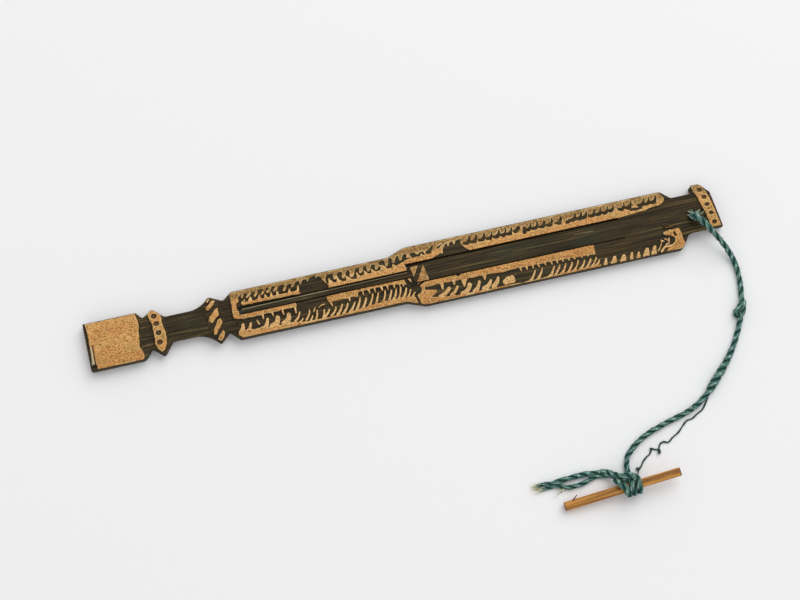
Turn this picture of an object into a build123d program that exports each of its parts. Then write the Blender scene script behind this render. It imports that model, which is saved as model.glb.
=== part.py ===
from build123d import *
import os
from math import asin, cos, degrees, pi, radians, sin, sqrt, tan

# Bamboo jaw harp with a pull cord and a toggle stick, lying on its back on a table, in millimetres.
# X runs along the strip from the grip end to the cord end, Z is up, and the origin is on the table
# under the middle of the strip.

# Bamboo strip: section
STRIP_THICKNESS = 5.0       # at the crown of the rind
CULM_RADIUS = 30.0          # outer curve of the rind across the strip
HOLLOW_RADIUS = 14.0        # scraped hollow along the back
HOLLOW_DEPTH = 1.5
GROUND_DEPTH = 1.1          # carved ground below the crown
FLANK_RUN = 1.1             # slope from a bead's top down to the ground
GRIP_BEVEL = 1.0            # bevel of the grip's outer end

# Bamboo strip: runs along its length, from the grip end to the cord end
GRIP_LENGTH = 16.8
GRIP_NOTCH_RUN = 2.2
PITTED_RISE = 3.4
PITTED_FALL = 3.3
THROAT_LENGTH = 7.3
FLARE_LENGTH = 7.1
STRIPED_FALL = 3.9
BODY_NOTCH_RUN = 2.8
NARROW_LENGTH = 51.4
STEP_RUN = 5.6
WIDE_LENGTH = 82.1
TAIL_SHOULDER_RUN = 3.0
TAIL_NECK_LENGTH = 7.0
PLATE_THICKNESS = 4.5

# Bamboo strip: widths
GRIP_WIDTH = 15.0
NOTCH_WIDTH = 9.9
BEAD_WIDTH = 15.0
THROAT_WIDTH = 8.0
NARROW_WIDTH = 15.0
WIDE_WIDTH = 19.2
TAIL_NECK_WIDTH = 12.1
AXIS_OFFSET = 0.8           # the tongue and the tail neck are cut this far off the strip's middle
NECK_OFFSET = 0.4           # the same for the throat and the notches
BEAD_SKEW = 1.0             # a bead's lower tip is this much further along than its upper tip
STEP_SKEW = 3.2             # the same for the body's steps
PITTED_TOP = 4.2            # length of the pitted bead's raised top
STRIPED_TOP = 4.0           # length of the striped bead's raised top

# End plate, which leans and stands out on the upper side only
PLATE_LEAN = 13.0           # degrees, inner edge
END_LEAN = 8.0              # degrees, outer edge
PLATE_REACH = 9.4           # upper end, from the strip's middle
PLATE_CORNER = 3.4          # cut corner, across the strip
PLATE_CROWN = 3.2           # what the cut corner leaves of the upper end, along the strip

# Drilled pits
PIT_DIAMETER = 1.4
PIT_DEPTH = 0.5
PIT_PITCH = 2.75
BEAD_PITS = 4
PLATE_PITS = 5
PLATE_PIT_OFFSET = 1.2      # the plate's row is centred this far above the axis
PLATE_PIT_SHARE = 0.4       # and lies at this share of the way across the plate

# Tongue and its slot
SLOT_END_WALL = 1.4         # body left at the tip's end of the slot
TIP_GAP = 1.0
REED_LENGTH = 53.6          # narrow free end
BASE_LENGTH = 67.2          # wide part, up to the root
TIP_WIDTH = 1.6
REED_WIDTH = 1.9
BASE_WIDTH = 6.0
SLIT = 0.4                  # saw cut along each side
SHOULDER_GAP = 0.8
SHOULDER_LEAN = 10.0        # degrees
TONGUE_THICKNESS = 1.3
REED_THICKNESS = 1.0
ROOT_CLEARANCE = 0.1        # round root in its cradle

# Cord hole and the stopper knot behind it
HOLE_DIAMETER = 2.6
HOLE_INSET = 3.4            # from the plate's inner edge
HOLE_OFFSET = -1.2          # from the axis
RECESS_HEIGHT = 2.4         # relief under the tail neck
RECESS_MARGIN = 0.6         # the relief starts this far inside the tail neck
RECESS_END = 0.3            # and ends this far past the plate's inner edge
STOPPER_DIAMETER = 4.6
STOPPER_HEIGHT = 2.1
STOPPER_CLEARANCE = 0.15    # below the relief's ceiling

# Cord, thread and tails
CORD_DIAMETER = 1.8
THREAD_DIAMETER = 0.55
PLY_DIAMETER = 1.5
FLOOR_GAP = 0.02            # cords lie this far above the table
TOUCH_GAP = 0.05            # between cords that lie against each other
ARC_SHARE = 0.45            # share of a run that a bend takes up at each end
CORD_KNOT_LENGTH = 5.0
CORD_KNOT_THICKNESS = 3.6
CORD_KNOT_OFFSET = 0.5      # the lump bulges to the grip's side of the cord

# Toggle: a split stick with the cord hitched round it
STICK_LENGTH = 37.0
STICK_AHEAD = 16.1          # from the hitch to the thin end
STICK_THICKNESS = 2.8       # across corners at the thick end
STICK_THIN = 2.5            # across corners at the thin end
STICK_SIDES = 6
STICK_HEADING = 4.3         # degrees from X
HITCH_X = 53.8              # hitch's middle on the stick
HITCH_Y = -77.95
HITCH_CLEARANCE = 0.2       # between the stick and the turns
HITCH_GAP = 0.42            # between one turn and the next
PIVOT_REACH = 3.9           # from the stick's axis to where the pull cord meets the hitch
TAIL_ALONG = -7.8           # where the hitch's tail lies on the table, from the hitch's middle
TAIL_ACROSS = 6.8
TAIL_HEADING = 174.0        # degrees from X

# Places worked out along the strip
lower_edge = AXIS_OFFSET - TAIL_NECK_WIDTH / 2
strip_length = (
    GRIP_LENGTH + GRIP_NOTCH_RUN + PITTED_RISE + PITTED_FALL + THROAT_LENGTH + FLARE_LENGTH
    + STRIPED_FALL + BODY_NOTCH_RUN + NARROW_LENGTH + STEP_RUN + WIDE_LENGTH + TAIL_SHOULDER_RUN
    + TAIL_NECK_LENGTH + PLATE_THICKNESS + TAIL_NECK_WIDTH / 2 * tan(radians(END_LEAN))
)
x_grip = -strip_length / 2
x_grip_end = x_grip + GRIP_LENGTH
x_grip_notch = x_grip_end + GRIP_NOTCH_RUN
x_pitted = x_grip_notch + PITTED_RISE
x_throat = x_pitted + PITTED_FALL
x_flare = x_throat + THROAT_LENGTH
x_striped = x_flare + FLARE_LENGTH
x_body_notch = x_striped + STRIPED_FALL
x_body = x_body_notch + BODY_NOTCH_RUN
x_step = x_body + NARROW_LENGTH
x_wide = x_step + STEP_RUN
x_wide_end = x_wide + WIDE_LENGTH
x_tail = x_wide_end + TAIL_SHOULDER_RUN
x_plate = x_tail + TAIL_NECK_LENGTH
x_end = x_plate + PLATE_THICKNESS
x_slot = x_body + SLOT_END_WALL
x_tip = x_slot + TIP_GAP
x_shoulder = x_tip + REED_LENGTH
x_root = x_shoulder + BASE_LENGTH
z_ground = STRIP_THICKNESS - GROUND_DEPTH
z_root = z_ground - TONGUE_THICKNESS / 2
cutter_reach = WIDE_WIDTH   # half-span of a cut that goes right across the strip
hole_x = x_plate - HOLE_INSET
hole_y = AXIS_OFFSET + HOLE_OFFSET
cord_radius = CORD_DIAMETER / 2
cord_z = cord_radius + FLOOR_GAP


def plate_inner(y):
    """X of the end plate's inner edge at a place across the strip."""
    return x_plate - (y - AXIS_OFFSET) * tan(radians(PLATE_LEAN))


def plate_outer(y):
    """X of the end plate's outer edge at a place across the strip."""
    return x_end - (y - AXIS_OFFSET) * tan(radians(END_LEAN))


def plate_pit_x(y):
    """X of the end plate's row of pits at a place across the strip."""
    return plate_inner(y) + PLATE_PIT_SHARE * (plate_outer(y) - plate_inner(y))


def shoulder_x(y):
    """X of the tongue's leaning shoulder at a place across the strip."""
    return x_shoulder - (y - AXIS_OFFSET) * tan(radians(SHOULDER_LEAN))


def rind_z(y):
    """Height of the uncarved rind at a place across the strip."""
    return STRIP_THICKNESS - CULM_RADIUS + sqrt(CULM_RADIUS**2 - y**2)


def prism(points, z_low, z_high):
    """Upright prism on a plan polygon."""
    base = make_face(Polyline(*points, close=True))
    return extrude(Pos(0, 0, z_low) * base, z_high - z_low)


def plan_edge(side):
    """One long edge of the strip, side +1 above the axis and -1 below, in order along X."""
    bead_shift = -side * BEAD_SKEW / 2
    step_shift = -side * STEP_SKEW / 2
    throat_y = NECK_OFFSET + side * THROAT_WIDTH / 2
    notch_y = NECK_OFFSET + side * NOTCH_WIDTH / 2
    tail_y = AXIS_OFFSET + side * TAIL_NECK_WIDTH / 2
    bead_y = side * BEAD_WIDTH / 2
    front = Polyline(
        (x_grip, side * GRIP_WIDTH / 2),
        (x_grip_end, side * GRIP_WIDTH / 2),
        (x_grip_notch + bead_shift, notch_y),
        (x_pitted + bead_shift, bead_y),
        (x_throat + bead_shift, throat_y),
        (x_flare, throat_y),
    )
    flare_end = (x_striped + bead_shift, bead_y)
    flare = TangentArc((x_flare, throat_y), flare_end, tangent=(1, 0))
    back = Polyline(
        flare_end,
        (x_body_notch, notch_y),
        (x_body, side * NARROW_WIDTH / 2),
        (x_step + step_shift, side * NARROW_WIDTH / 2),
        (x_wide + step_shift, side * WIDE_WIDTH / 2),
        (x_wide_end + step_shift, side * WIDE_WIDTH / 2),
        (x_tail + step_shift, tail_y),
        (plate_inner(tail_y), tail_y),
    )
    return front.edges() + flare.edges() + back.edges()


def strip_blank():
    """Outline of the strip with the rind's curve on top and the scraped hollow along the back."""
    upper_y = AXIS_OFFSET + TAIL_NECK_WIDTH / 2
    corner_y = PLATE_REACH - PLATE_CORNER
    plate = Polyline(
        (plate_inner(upper_y), upper_y),
        (plate_inner(PLATE_REACH), PLATE_REACH),
        (plate_inner(PLATE_REACH) + PLATE_CROWN, PLATE_REACH),
        (plate_outer(corner_y), corner_y),
        (plate_outer(lower_edge), lower_edge),
        (plate_inner(lower_edge), lower_edge),
    )
    grip_end = Line((x_grip, GRIP_WIDTH / 2), (x_grip, -GRIP_WIDTH / 2))
    outline = make_face(plan_edge(1) + plate.edges() + plan_edge(-1) + grip_end.edges())
    along_x = Rotation(0, 90, 0)
    culm = Pos(0, 0, STRIP_THICKNESS - CULM_RADIUS) * along_x * Cylinder(CULM_RADIUS, 2 * strip_length)
    hollow = Pos(0, 0, HOLLOW_DEPTH - HOLLOW_RADIUS) * along_x * Cylinder(HOLLOW_RADIUS, 2 * strip_length)
    return (extrude(outline, STRIP_THICKNESS) & culm) - hollow


def lowered(x_from, x_to):
    """Cut across the strip down to the ground, with a sloping flank at each end."""
    above = STRIP_THICKNESS + FLANK_RUN
    rise = FLANK_RUN * FLANK_RUN / GROUND_DEPTH
    profile = Plane.XZ * make_face(
        Polyline(
            (x_from - rise, above),
            (x_from + FLANK_RUN, z_ground),
            (x_to - FLANK_RUN, z_ground),
            (x_to + rise, above),
            close=True,
        )
    )
    return extrude(profile, cutter_reach, both=True)


def pits(x_of_y, middle_y, count):
    """Row of drilled pits across the strip, sunk from the rind."""
    row = []
    for number in range(count):
        y = middle_y + (number - (count - 1) / 2) * PIT_PITCH
        drill = Cylinder(PIT_DIAMETER / 2, 2 * PIT_DEPTH)
        row.append(Pos(x_of_y(y), y, rind_z(y)) * drill)
    return row


def tongue_plan(side_gap, tip_x, shoulder_shift):
    """Plan of the tongue, or of its slot when it is widened by the saw cut."""
    upper = []
    lower = []
    for side, points in ((1, upper), (-1, lower)):
        tip_y = AXIS_OFFSET + side * (TIP_WIDTH / 2 + side_gap)
        reed_y = AXIS_OFFSET + side * (REED_WIDTH / 2 + side_gap)
        base_y = AXIS_OFFSET + side * (BASE_WIDTH / 2 + side_gap)
        points.append((tip_x, tip_y))
        points.append((shoulder_x(reed_y) - shoulder_shift, reed_y))
        points.append((shoulder_x(base_y) - shoulder_shift, base_y))
        points.append((x_root, base_y))
    return upper + lower[::-1]


def round_root(gap):
    """Round bar across the root, which the tongue ends in and the frame cradles."""
    width = BASE_WIDTH + 2 * (SLIT if gap else 0)
    bar = Cylinder(TONGUE_THICKNESS / 2 + gap, width)
    return Pos(x_root, AXIS_OFFSET, z_root) * Rotation(90, 0, 0) * bar


def make_frame():
    """Frame: grip, beads, slotted body, tail neck and end plate from one strip."""
    frame = strip_blank()
    frame -= lowered(x_grip_end, x_pitted - PITTED_TOP / 2)
    frame -= lowered(x_pitted + PITTED_TOP / 2, x_striped - STRIPED_TOP / 2)
    frame -= lowered(x_striped + STRIPED_TOP / 2, x_body)
    bevel = Plane.XZ * make_face(
        Polyline(
            (x_grip, STRIP_THICKNESS - GRIP_BEVEL),
            (x_grip + GRIP_BEVEL, STRIP_THICKNESS),
            (x_grip, STRIP_THICKNESS),
            close=True,
        )
    )
    frame -= extrude(bevel, cutter_reach, both=True)
    slot_half = BASE_WIDTH / 2 + SLIT
    field = [
        (x_root, AXIS_OFFSET - slot_half),
        (x_tail, AXIS_OFFSET - slot_half),
        (x_tail, AXIS_OFFSET + slot_half),
        (x_root, AXIS_OFFSET + slot_half),
    ]
    frame -= prism(field, z_ground, STRIP_THICKNESS)
    step_slope = STEP_SKEW / WIDE_WIDTH
    neck = [
        (x_wide_end - step_slope * cutter_reach, cutter_reach),
        (x_wide_end + step_slope * cutter_reach, -cutter_reach),
        (plate_inner(-cutter_reach), -cutter_reach),
        (plate_inner(cutter_reach), cutter_reach),
    ]
    frame -= prism(neck, z_ground, STRIP_THICKNESS)
    frame -= prism(tongue_plan(SLIT, x_slot, SHOULDER_GAP), 0, STRIP_THICKNESS)
    frame -= round_root(ROOT_CLEARANCE)
    recess_from = x_tail + RECESS_MARGIN
    recess_to = x_plate + RECESS_END
    recess = [
        (recess_from, -cutter_reach),
        (recess_to, -cutter_reach),
        (recess_to, cutter_reach),
        (recess_from, cutter_reach),
    ]
    frame -= prism(recess, 0, RECESS_HEIGHT)
    frame -= Pos(hole_x, hole_y, STRIP_THICKNESS / 2) * Cylinder(HOLE_DIAMETER / 2, STRIP_THICKNESS)
    frame -= pits(lambda y: x_pitted, AXIS_OFFSET, BEAD_PITS)
    plate_middle = AXIS_OFFSET + PLATE_PIT_OFFSET
    frame -= pits(plate_pit_x, plate_middle, PLATE_PITS)
    return frame


def make_tongue():
    """Tongue: a wide base with a round root and a thinner, narrow free end."""
    blank = prism(tongue_plan(0, x_tip, 0), z_ground - TONGUE_THICKNESS, z_ground)
    relief = [
        (x_tip, -cutter_reach),
        (shoulder_x(0), -cutter_reach),
        (shoulder_x(0), cutter_reach),
        (x_tip, cutter_reach),
    ]
    blank -= prism(relief, z_ground - TONGUE_THICKNESS, z_ground - REED_THICKNESS)
    return blank + round_root(0)


def make_stopper_knot():
    """Stopper knot: a flattened bun under the tail neck, with the stub that fills the hole."""
    top = RECESS_HEIGHT - STOPPER_CLEARANCE
    edge = STOPPER_HEIGHT / 2
    half = Polyline(
        (0, top - STOPPER_HEIGHT), (STOPPER_DIAMETER / 2 - edge, top - STOPPER_HEIGHT)
    ).edges()
    half += ThreePointArc(
        (STOPPER_DIAMETER / 2 - edge, top - STOPPER_HEIGHT),
        (STOPPER_DIAMETER / 2, top - edge),
        (STOPPER_DIAMETER / 2 - edge, top),
    ).edges()
    half += Polyline((STOPPER_DIAMETER / 2 - edge, top), (0, top), (0, top - STOPPER_HEIGHT)).edges()
    bun = revolve(Plane.XZ * make_face(half), Axis.Z)
    stub_height = z_ground - top + edge
    stub = Pos(0, 0, z_ground - stub_height / 2) * Cylinder(cord_radius, stub_height)
    return Pos(hole_x, hole_y, 0) * (bun + stub)


def bend_radii(points):
    """Radius of each bend, as large as its two runs allow."""
    radii = []
    for before, corner, after in zip(points, points[1:], points[2:]):
        run_in = Vector(corner) - Vector(before)
        run_out = Vector(after) - Vector(corner)
        turn = radians(run_in.get_angle(run_out))
        radii.append(ARC_SHARE * min(run_in.length, run_out.length) / tan(turn / 2))
    return radii


def tube(name, points, diameter):
    """Round cord along straight runs and tangent arcs, with its bends and volume printed."""
    radii = bend_radii(points)
    path = FilletPolyline(*points, radius=radii)
    section = Plane(origin=path @ 0, z_dir=path % 0) * Circle(diameter / 2)
    cord = sweep(section, path=path)
    share = cord.volume / (pi * diameter**2 / 4 * path.length)
    print(name, "length %.1f, tightest bend %.2f diameters, volume share %.4f" % (
        path.length, min(radii) / diameter, share))
    print("  radii", " ".join("%.1f" % radius for radius in radii))
    return cord


# Toggle's own frame: X along the stick to its thin end, Y to the cord's side, Z up from the stick.
# The stick leans until its thick end touches the table.
turn_radius = STICK_THICKNESS / 2 + HITCH_CLEARANCE + cord_radius
hitch_z = turn_radius + cord_z
stick_behind = STICK_LENGTH - STICK_AHEAD
stick_lean = asin((hitch_z - STICK_THICKNESS / 2 - FLOOR_GAP) / stick_behind)
heading = radians(STICK_HEADING)
stick_axis = Vector(cos(heading) * cos(stick_lean), sin(heading) * cos(stick_lean), sin(stick_lean))
across_stick = Vector(-sin(heading), cos(heading), 0)
toggle_plane = Plane(
    origin=(HITCH_X, HITCH_Y, hitch_z), x_dir=stick_axis, z_dir=stick_axis.cross(across_stick)
)
turn_step = CORD_DIAMETER + HITCH_GAP


def on_stick(along, across, up):
    """Point in the toggle's frame, as a point of the whole part."""
    return toggle_plane.from_local_coords(Vector(along, across, up))


def round_stick(angle, radius, along):
    """Point at an angle round the stick, from the cord's side upwards."""
    return on_stick(along, radius * cos(radians(angle)), radius * sin(radians(angle)))


pivot = on_stick(0, PIVOT_REACH, -turn_radius)
tail_place = on_stick(TAIL_ALONG, TAIL_ACROSS, 0)
tail_start = Vector(tail_place.X, tail_place.Y, cord_z)
tail_heading = Vector(cos(radians(TAIL_HEADING)), sin(radians(TAIL_HEADING)), 0)


def hitch_points():
    """Stations of the hitch: in under the stick, a turn, a diagonal over the cord, a second turn and
    a collar that leaves over the top to the tail."""
    collar = turn_radius + turn_step
    return [
        pivot,
        on_stick(0, PIVOT_REACH - CORD_DIAMETER, -turn_radius),
        round_stick(-90, turn_radius, -0.1 * turn_step),
        round_stick(-180, turn_radius, -0.6 * turn_step),
        round_stick(-270, turn_radius, -0.7 * turn_step),
        round_stick(-360, turn_radius, 0.55 * turn_step),
        round_stick(-450, turn_radius, 1.2 * turn_step),
        round_stick(-540, turn_radius, 1.25 * turn_step),
        round_stick(-620, turn_radius + 0.15 * turn_step, 1.2 * turn_step),
        round_stick(-670, collar, 0.5 * turn_step),
        round_stick(-690, collar + 0.1 * turn_step, -0.6 * turn_step),
        round_stick(-712, collar + 0.25 * turn_step, -1.7 * turn_step),
        tail_start - tail_heading * CORD_DIAMETER,
        tail_start,
    ]


def biarc(start, start_way, end, end_way):
    """Two arcs that leave start and reach end in the given directions."""
    span = end - start
    both = start_way + end_way
    spread = 2 * (1 - start_way.dot(end_way))
    reach = span.dot(both)
    if spread < 1e-9:
        arm = span.length**2 / (2 * reach)
    else:
        arm = (-reach + sqrt(reach**2 + spread * span.dot(span))) / spread
    first = start + start_way * arm
    second = end - end_way * arm
    joint = (first + second) * 0.5
    edges = []
    for begin, corner, finish in ((start, first, joint), (joint, second, end)):
        middle = (begin + finish) * 0.5
        weight = (begin - middle).length / arm
        top = (begin + corner * (2 * weight) + finish) * (1 / (2 * (1 + weight)))
        if (top - middle).length < 1e-6:
            edges.append(Line(begin, finish))
        else:
            edges.append(ThreePointArc(begin, top, finish))
    return edges


def least_gap(path, diameter):
    """Least gap of a tube to itself, measured between points that are over two diameters apart along it."""
    count = int(path.length / (diameter / 10))
    step = path.length / count
    points = [path @ (number / count) for number in range(count + 1)]
    apart = int(2 * diameter / step)
    return min(
        (points[one] - points[other]).length
        for one in range(count + 1)
        for other in range(one + apart, count + 1)
    ) - diameter


def make_toggle_knot():
    """Hitch round the stick: one unbroken cord with a ball at the pivot, up to where the tail starts."""
    stations = hitch_points()
    ways = [stations[1] - stations[0], stations[1] - stations[0]]
    ways += [after - before for before, after in zip(stations[1:-3], stations[3:-1])]
    ways += [tail_heading, tail_heading]
    ways = [way.normalized() for way in ways]
    edges = [Line(stations[0], stations[1])]
    for number in range(1, len(stations) - 2):
        edges += biarc(stations[number], ways[number], stations[number + 1], ways[number + 1])
    edges.append(Line(stations[-2], stations[-1]))
    path = Wire([edge.edges()[0] for edge in edges])
    section = Plane(origin=path @ 0, z_dir=path % 0) * Circle(cord_radius)
    turns = sweep(section, path=path)
    share = turns.volume / (pi * cord_radius**2 * path.length)
    tightest = min(edge.radius for edge in path.edges() if edge.geom_type == GeomType.CIRCLE)
    print("toggle_knot length %.1f, volume share %.4f, tightest bend %.2f, least gap to itself %.2f" % (
        path.length, share, tightest, least_gap(path, CORD_DIAMETER)))
    return turns + Pos(*pivot) * Sphere(cord_radius)


def make_toggle_stick():
    """Split stick with flat sides, thinner towards one end."""
    ends = []
    for along, across in ((-stick_behind, STICK_THICKNESS), (STICK_AHEAD, STICK_THIN)):
        plane = Plane(origin=on_stick(along, 0, 0), x_dir=across_stick, z_dir=stick_axis)
        ends.append(plane * RegularPolygon(across / 2, STICK_SIDES))
    return loft(ends, ruled=True)


# Routes, as points chosen by hand: first out of the hole, over the edge of the tail neck and down.
# The last run points at the pivot and ends just short of the hitch's ball.
cord_last = Vector(54.4, -70.4, cord_z)
cord_end = pivot + (cord_last - pivot).normalized() * (cord_radius + TOUCH_GAP)
cord_route = [
    (hole_x, hole_y, z_ground),
    (hole_x, hole_y, z_ground + 2.1),
    (hole_x + 1.6, hole_y - 1.3, z_ground + 3.8),
    (hole_x + 3.6, hole_y - 3.7, z_ground + 3.9),
    (98.0, -7.9, 6.4),
    (100.5, -11.4, 3.2),
    (102.4, -15.5, 1.2),
    (102.4, -20.6, cord_z),
    (101.7, -26.2, cord_z),
    (100.4, -32.0, cord_z + 0.5),
    (98.3, -37.4, cord_z),
    (95.3, -42.9, cord_z),
    (91.3, -48.1, cord_z),
    (86.4, -52.9, cord_z),
    (80.8, -57.3, cord_z),
    (74.4, -59.8, cord_z),
    (67.6, -61.7, cord_z),
    (61.4, -64.0, cord_z),
    (56.9, -67.2, cord_z),
    tuple(cord_last),
    tuple(cord_end),
]
thread_z = THREAD_DIAMETER / 2 + FLOOR_GAP
thread_route = [
    (84.3, -57.0, cord_z),
    (83.0, -58.6, thread_z + 0.1),
    (81.0, -59.8, thread_z),
    (78.8, -61.2, thread_z),
    (76.7, -62.2, thread_z),
    (74.6, -63.6, thread_z),
    (72.6, -65.2, thread_z),
    (70.0, -66.4, thread_z),
    (67.7, -67.1, thread_z),
    (65.8, -68.6, thread_z),
    (63.7, -68.7, thread_z),
    (62.2, -70.0, thread_z),
    (60.8, -71.2, thread_z),
    (59.8, -72.4, thread_z),
    (59.0, -73.5, thread_z),
]
ply_z = PLY_DIAMETER / 2 + FLOOR_GAP
upper_route = [
    tuple(tail_start + tail_heading * TOUCH_GAP),
    tuple(tail_start + tail_heading * 3.2),
    (39.3, -71.0, cord_z),
    (35.0, -71.4, cord_z),
    (30.0, -71.6, cord_z),
    (25.4, -71.3, cord_z),
]
lower_route = [
    (43.0, -73.1, ply_z),
    (40.4, -73.6, ply_z),
    (37.2, -74.0, ply_z),
    (33.6, -74.1, ply_z),
    (29.8, -73.7, ply_z),
    (26.6, -73.3, ply_z),
]


def make_cord_knot(cord):
    """Small lump tied in the free cord, with the cord's own room cut out of it."""
    place = Vector(cord_route[9])
    way = (Vector(cord_route[10]) - Vector(cord_route[8])).normalized()
    aside = Vector(way.Y, -way.X, 0) * CORD_KNOT_OFFSET
    centre = Vector(place.X + aside.X, place.Y + aside.Y, CORD_KNOT_THICKNESS / 2 + FLOOR_GAP)
    half = Polyline((-CORD_KNOT_LENGTH / 2, 0), (CORD_KNOT_LENGTH / 2, 0)).edges()
    half += EllipticalCenterArc(
        (0, 0), CORD_KNOT_LENGTH / 2, CORD_KNOT_THICKNESS / 2, start_angle=0, arc_size=180
    ).edges()
    lump = revolve(make_face(half), Axis.X)
    return Plane(origin=centre, x_dir=way, z_dir=(0, 0, 1)) * lump - cord


pull_cord = tube("pull_cord", cord_route, CORD_DIAMETER)
nodes = {
    "frame": make_frame(),
    "tongue": make_tongue(),
    "stopper_knot": make_stopper_knot(),
    "pull_cord": pull_cord,
    "cord_knot": make_cord_knot(pull_cord),
    "toggle_knot": make_toggle_knot(),
    "toggle_stick": make_toggle_stick(),
    "cord_tail_upper": tube("cord_tail_upper", upper_route, CORD_DIAMETER),
    "cord_tail_lower": tube("cord_tail_lower", lower_route, PLY_DIAMETER),
    "loose_thread": tube("loose_thread", thread_route, THREAD_DIAMETER),
}
print("pivot %.2f %.2f %.2f, root %.2f %.2f %.2f, stick leans %.1f degrees" % (
    pivot.X, pivot.Y, pivot.Z, x_root, AXIS_OFFSET, z_root, degrees(stick_lean)))
os.makedirs("parts", exist_ok=True)
for name, solid in nodes.items():
    export_step(solid, "parts/" + name + ".step")
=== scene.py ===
import math

import bpy
import numpy as np
from mathutils import Matrix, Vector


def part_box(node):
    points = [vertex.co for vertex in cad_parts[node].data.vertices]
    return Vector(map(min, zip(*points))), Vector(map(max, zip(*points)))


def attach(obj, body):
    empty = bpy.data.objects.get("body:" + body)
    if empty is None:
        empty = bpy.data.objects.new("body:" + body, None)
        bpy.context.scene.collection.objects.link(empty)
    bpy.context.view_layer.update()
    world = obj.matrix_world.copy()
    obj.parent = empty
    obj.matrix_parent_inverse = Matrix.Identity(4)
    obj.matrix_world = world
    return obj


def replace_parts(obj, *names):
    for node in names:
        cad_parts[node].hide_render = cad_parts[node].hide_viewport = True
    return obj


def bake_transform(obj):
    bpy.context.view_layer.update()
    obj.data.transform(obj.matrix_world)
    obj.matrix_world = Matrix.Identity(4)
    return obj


# Looks of a bamboo jaw harp with a pull cord and a toggle stick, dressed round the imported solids.
# Sizes are in millimetres unless a comment says otherwise, and become metres where a piece is made.
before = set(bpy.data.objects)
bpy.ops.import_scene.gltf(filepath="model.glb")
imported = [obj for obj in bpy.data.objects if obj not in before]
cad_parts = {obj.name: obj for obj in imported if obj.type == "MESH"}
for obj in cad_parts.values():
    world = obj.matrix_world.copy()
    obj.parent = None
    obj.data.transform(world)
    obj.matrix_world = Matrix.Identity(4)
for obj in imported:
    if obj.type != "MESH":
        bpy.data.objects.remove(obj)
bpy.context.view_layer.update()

MM = 0.001
SEED = 11
WAVE_SHARES = (0.7, 1.5)    # shortest and longest wave of a random field, as shares of its reach

# Bamboo strip: runs along its length from the grip end, and where each ends
RUNS = (
    ("grip_end", 16.8),
    ("grip_notch", 2.2),
    ("pitted", 3.4),
    ("throat", 3.3),
    ("flare", 7.3),
    ("striped", 7.1),
    ("body_notch", 3.9),
    ("body", 2.8),
    ("step", 51.4),
    ("wide", 5.6),
    ("wide_end", 82.1),
    ("tail", 3.0),
    ("plate", 7.0),
    ("end", 4.5),
)
strip_low, strip_high = (np.array(corner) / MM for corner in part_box("frame"))
at = {"grip": strip_low[0]}
for run_name, run in RUNS:
    at[run_name] = list(at.values())[-1] + run

# Bamboo strip: section and widths
CROWN = strip_high[2]
CULM_RADIUS = 30.0
HOLLOW_RADIUS = 14.0
HOLLOW_DEPTH = 1.5
GROUND = 3.9                # height of the scraped ground
FLANK = 1.1                 # slope from a bead's top down to the ground
GRIP_WIDTH = 15.0
NOTCH_WIDTH = 9.9
BEAD_WIDTH = 15.0
THROAT_WIDTH = 8.0
NARROW_WIDTH = 15.0
WIDE_WIDTH = 19.2
TAIL_NECK_WIDTH = 12.1
AXIS = 0.8                  # the tongue and the tail neck are cut this far off the strip's middle
NECK_OFFSET = 0.4           # the same for the throat and the notches
BEAD_SKEW = 1.0             # a bead's lower tip is this much further along than its upper tip
STEP_SKEW = 3.2
PLATE_LEAN = math.radians(13.0)
END_LEAN = math.radians(8.0)
PLATE_REACH = 9.4
PLATE_CORNER = 3.4
PLATE_CROWN = 3.2

# Cord, thread and toggle
CORD_DIAMETER = 1.8
THREAD_DIAMETER = 0.55
PLY_DIAMETER = 1.5
FLOOR_GAP = 0.02
STICK_LENGTH = 37.0
STICK_AHEAD = 15.5
STICK_THICKNESS = 2.8
STICK_THIN = 2.7
STICK_HEADING = math.radians(4.3)
HITCH_X = 53.8
HITCH_Y = -77.95
TURN_RADIUS = 2.5
PIVOT_REACH = 3.9
HOLE_X = at["plate"] - 3.4
HOLE_Y = AXIS - 1.2
HOLE_DIAMETER = 2.6

# Slot, tongue and relief under the tail neck
SLOT_X = at["body"] + 1.4
TIP_X = SLOT_X + 1.0
REED_LENGTH = 53.6
BASE_LENGTH = 67.2
SHOULDER_LEAN = math.radians(10.0)
SHOULDER_GAP = 0.8
shoulder_shift = AXIS * math.tan(SHOULDER_LEAN)
SHOULDER_X = TIP_X + REED_LENGTH + shoulder_shift - SHOULDER_GAP
ROOT_X = TIP_X + REED_LENGTH + BASE_LENGTH + shoulder_shift
TIP_WIDTH = 1.6
REED_WIDTH = 1.9
BASE_WIDTH = 6.0
SLIT = 0.4
REED_THICKNESS = 1.0
TONGUE_THICKNESS = 1.3
RECESS_X = at["tail"] + 0.6
RECESS_END_X = at["plate"] + 0.3
RECESS_HEIGHT = 2.4
slot_half_wide = BASE_WIDTH / 2 + SLIT

# Finish of the carved strip
PLATE_FLANK = 0.35
CORNER_ROUND = 0.9          # reach of the running mean that rounds the outline's corners
EDGE_FINE = 0.05
CUT_DEPTH = 0.45
CUT_FLOOR = 4.15            # the cuts near the middle go down to this height
CUT_BELOW = 0.1             # no cut goes further below the ground than this
CUT_WALL = (-0.9, 0.5)      # pixels from a cut's edge between which its wall rises
FIELD_SLOPE = 1.5           # run over which the cuts slope down to the ground beside the tongue's root
PIT_DEPTH = 0.5
PIT_WALL = 1.4              # pixels over which a pit's wall goes down, and the bare bamboo starts
PIT_BARE_RUN = 1.2
PIT_EDGE = 0.2              # pixels of rind worn off round a pit
HOLE_SINK = 1.4
HOLE_WALL = 0.15
EDGE_WEAR = 0.28
EDGE_WEAR_RUN = 0.5
EDGE_LINE = 0.2             # the rind is worn through this far in from the long edges
HAND = 0.35                 # pixels that the knife strays by, and the run over which it does
HAND_RUN = 9.0
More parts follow.
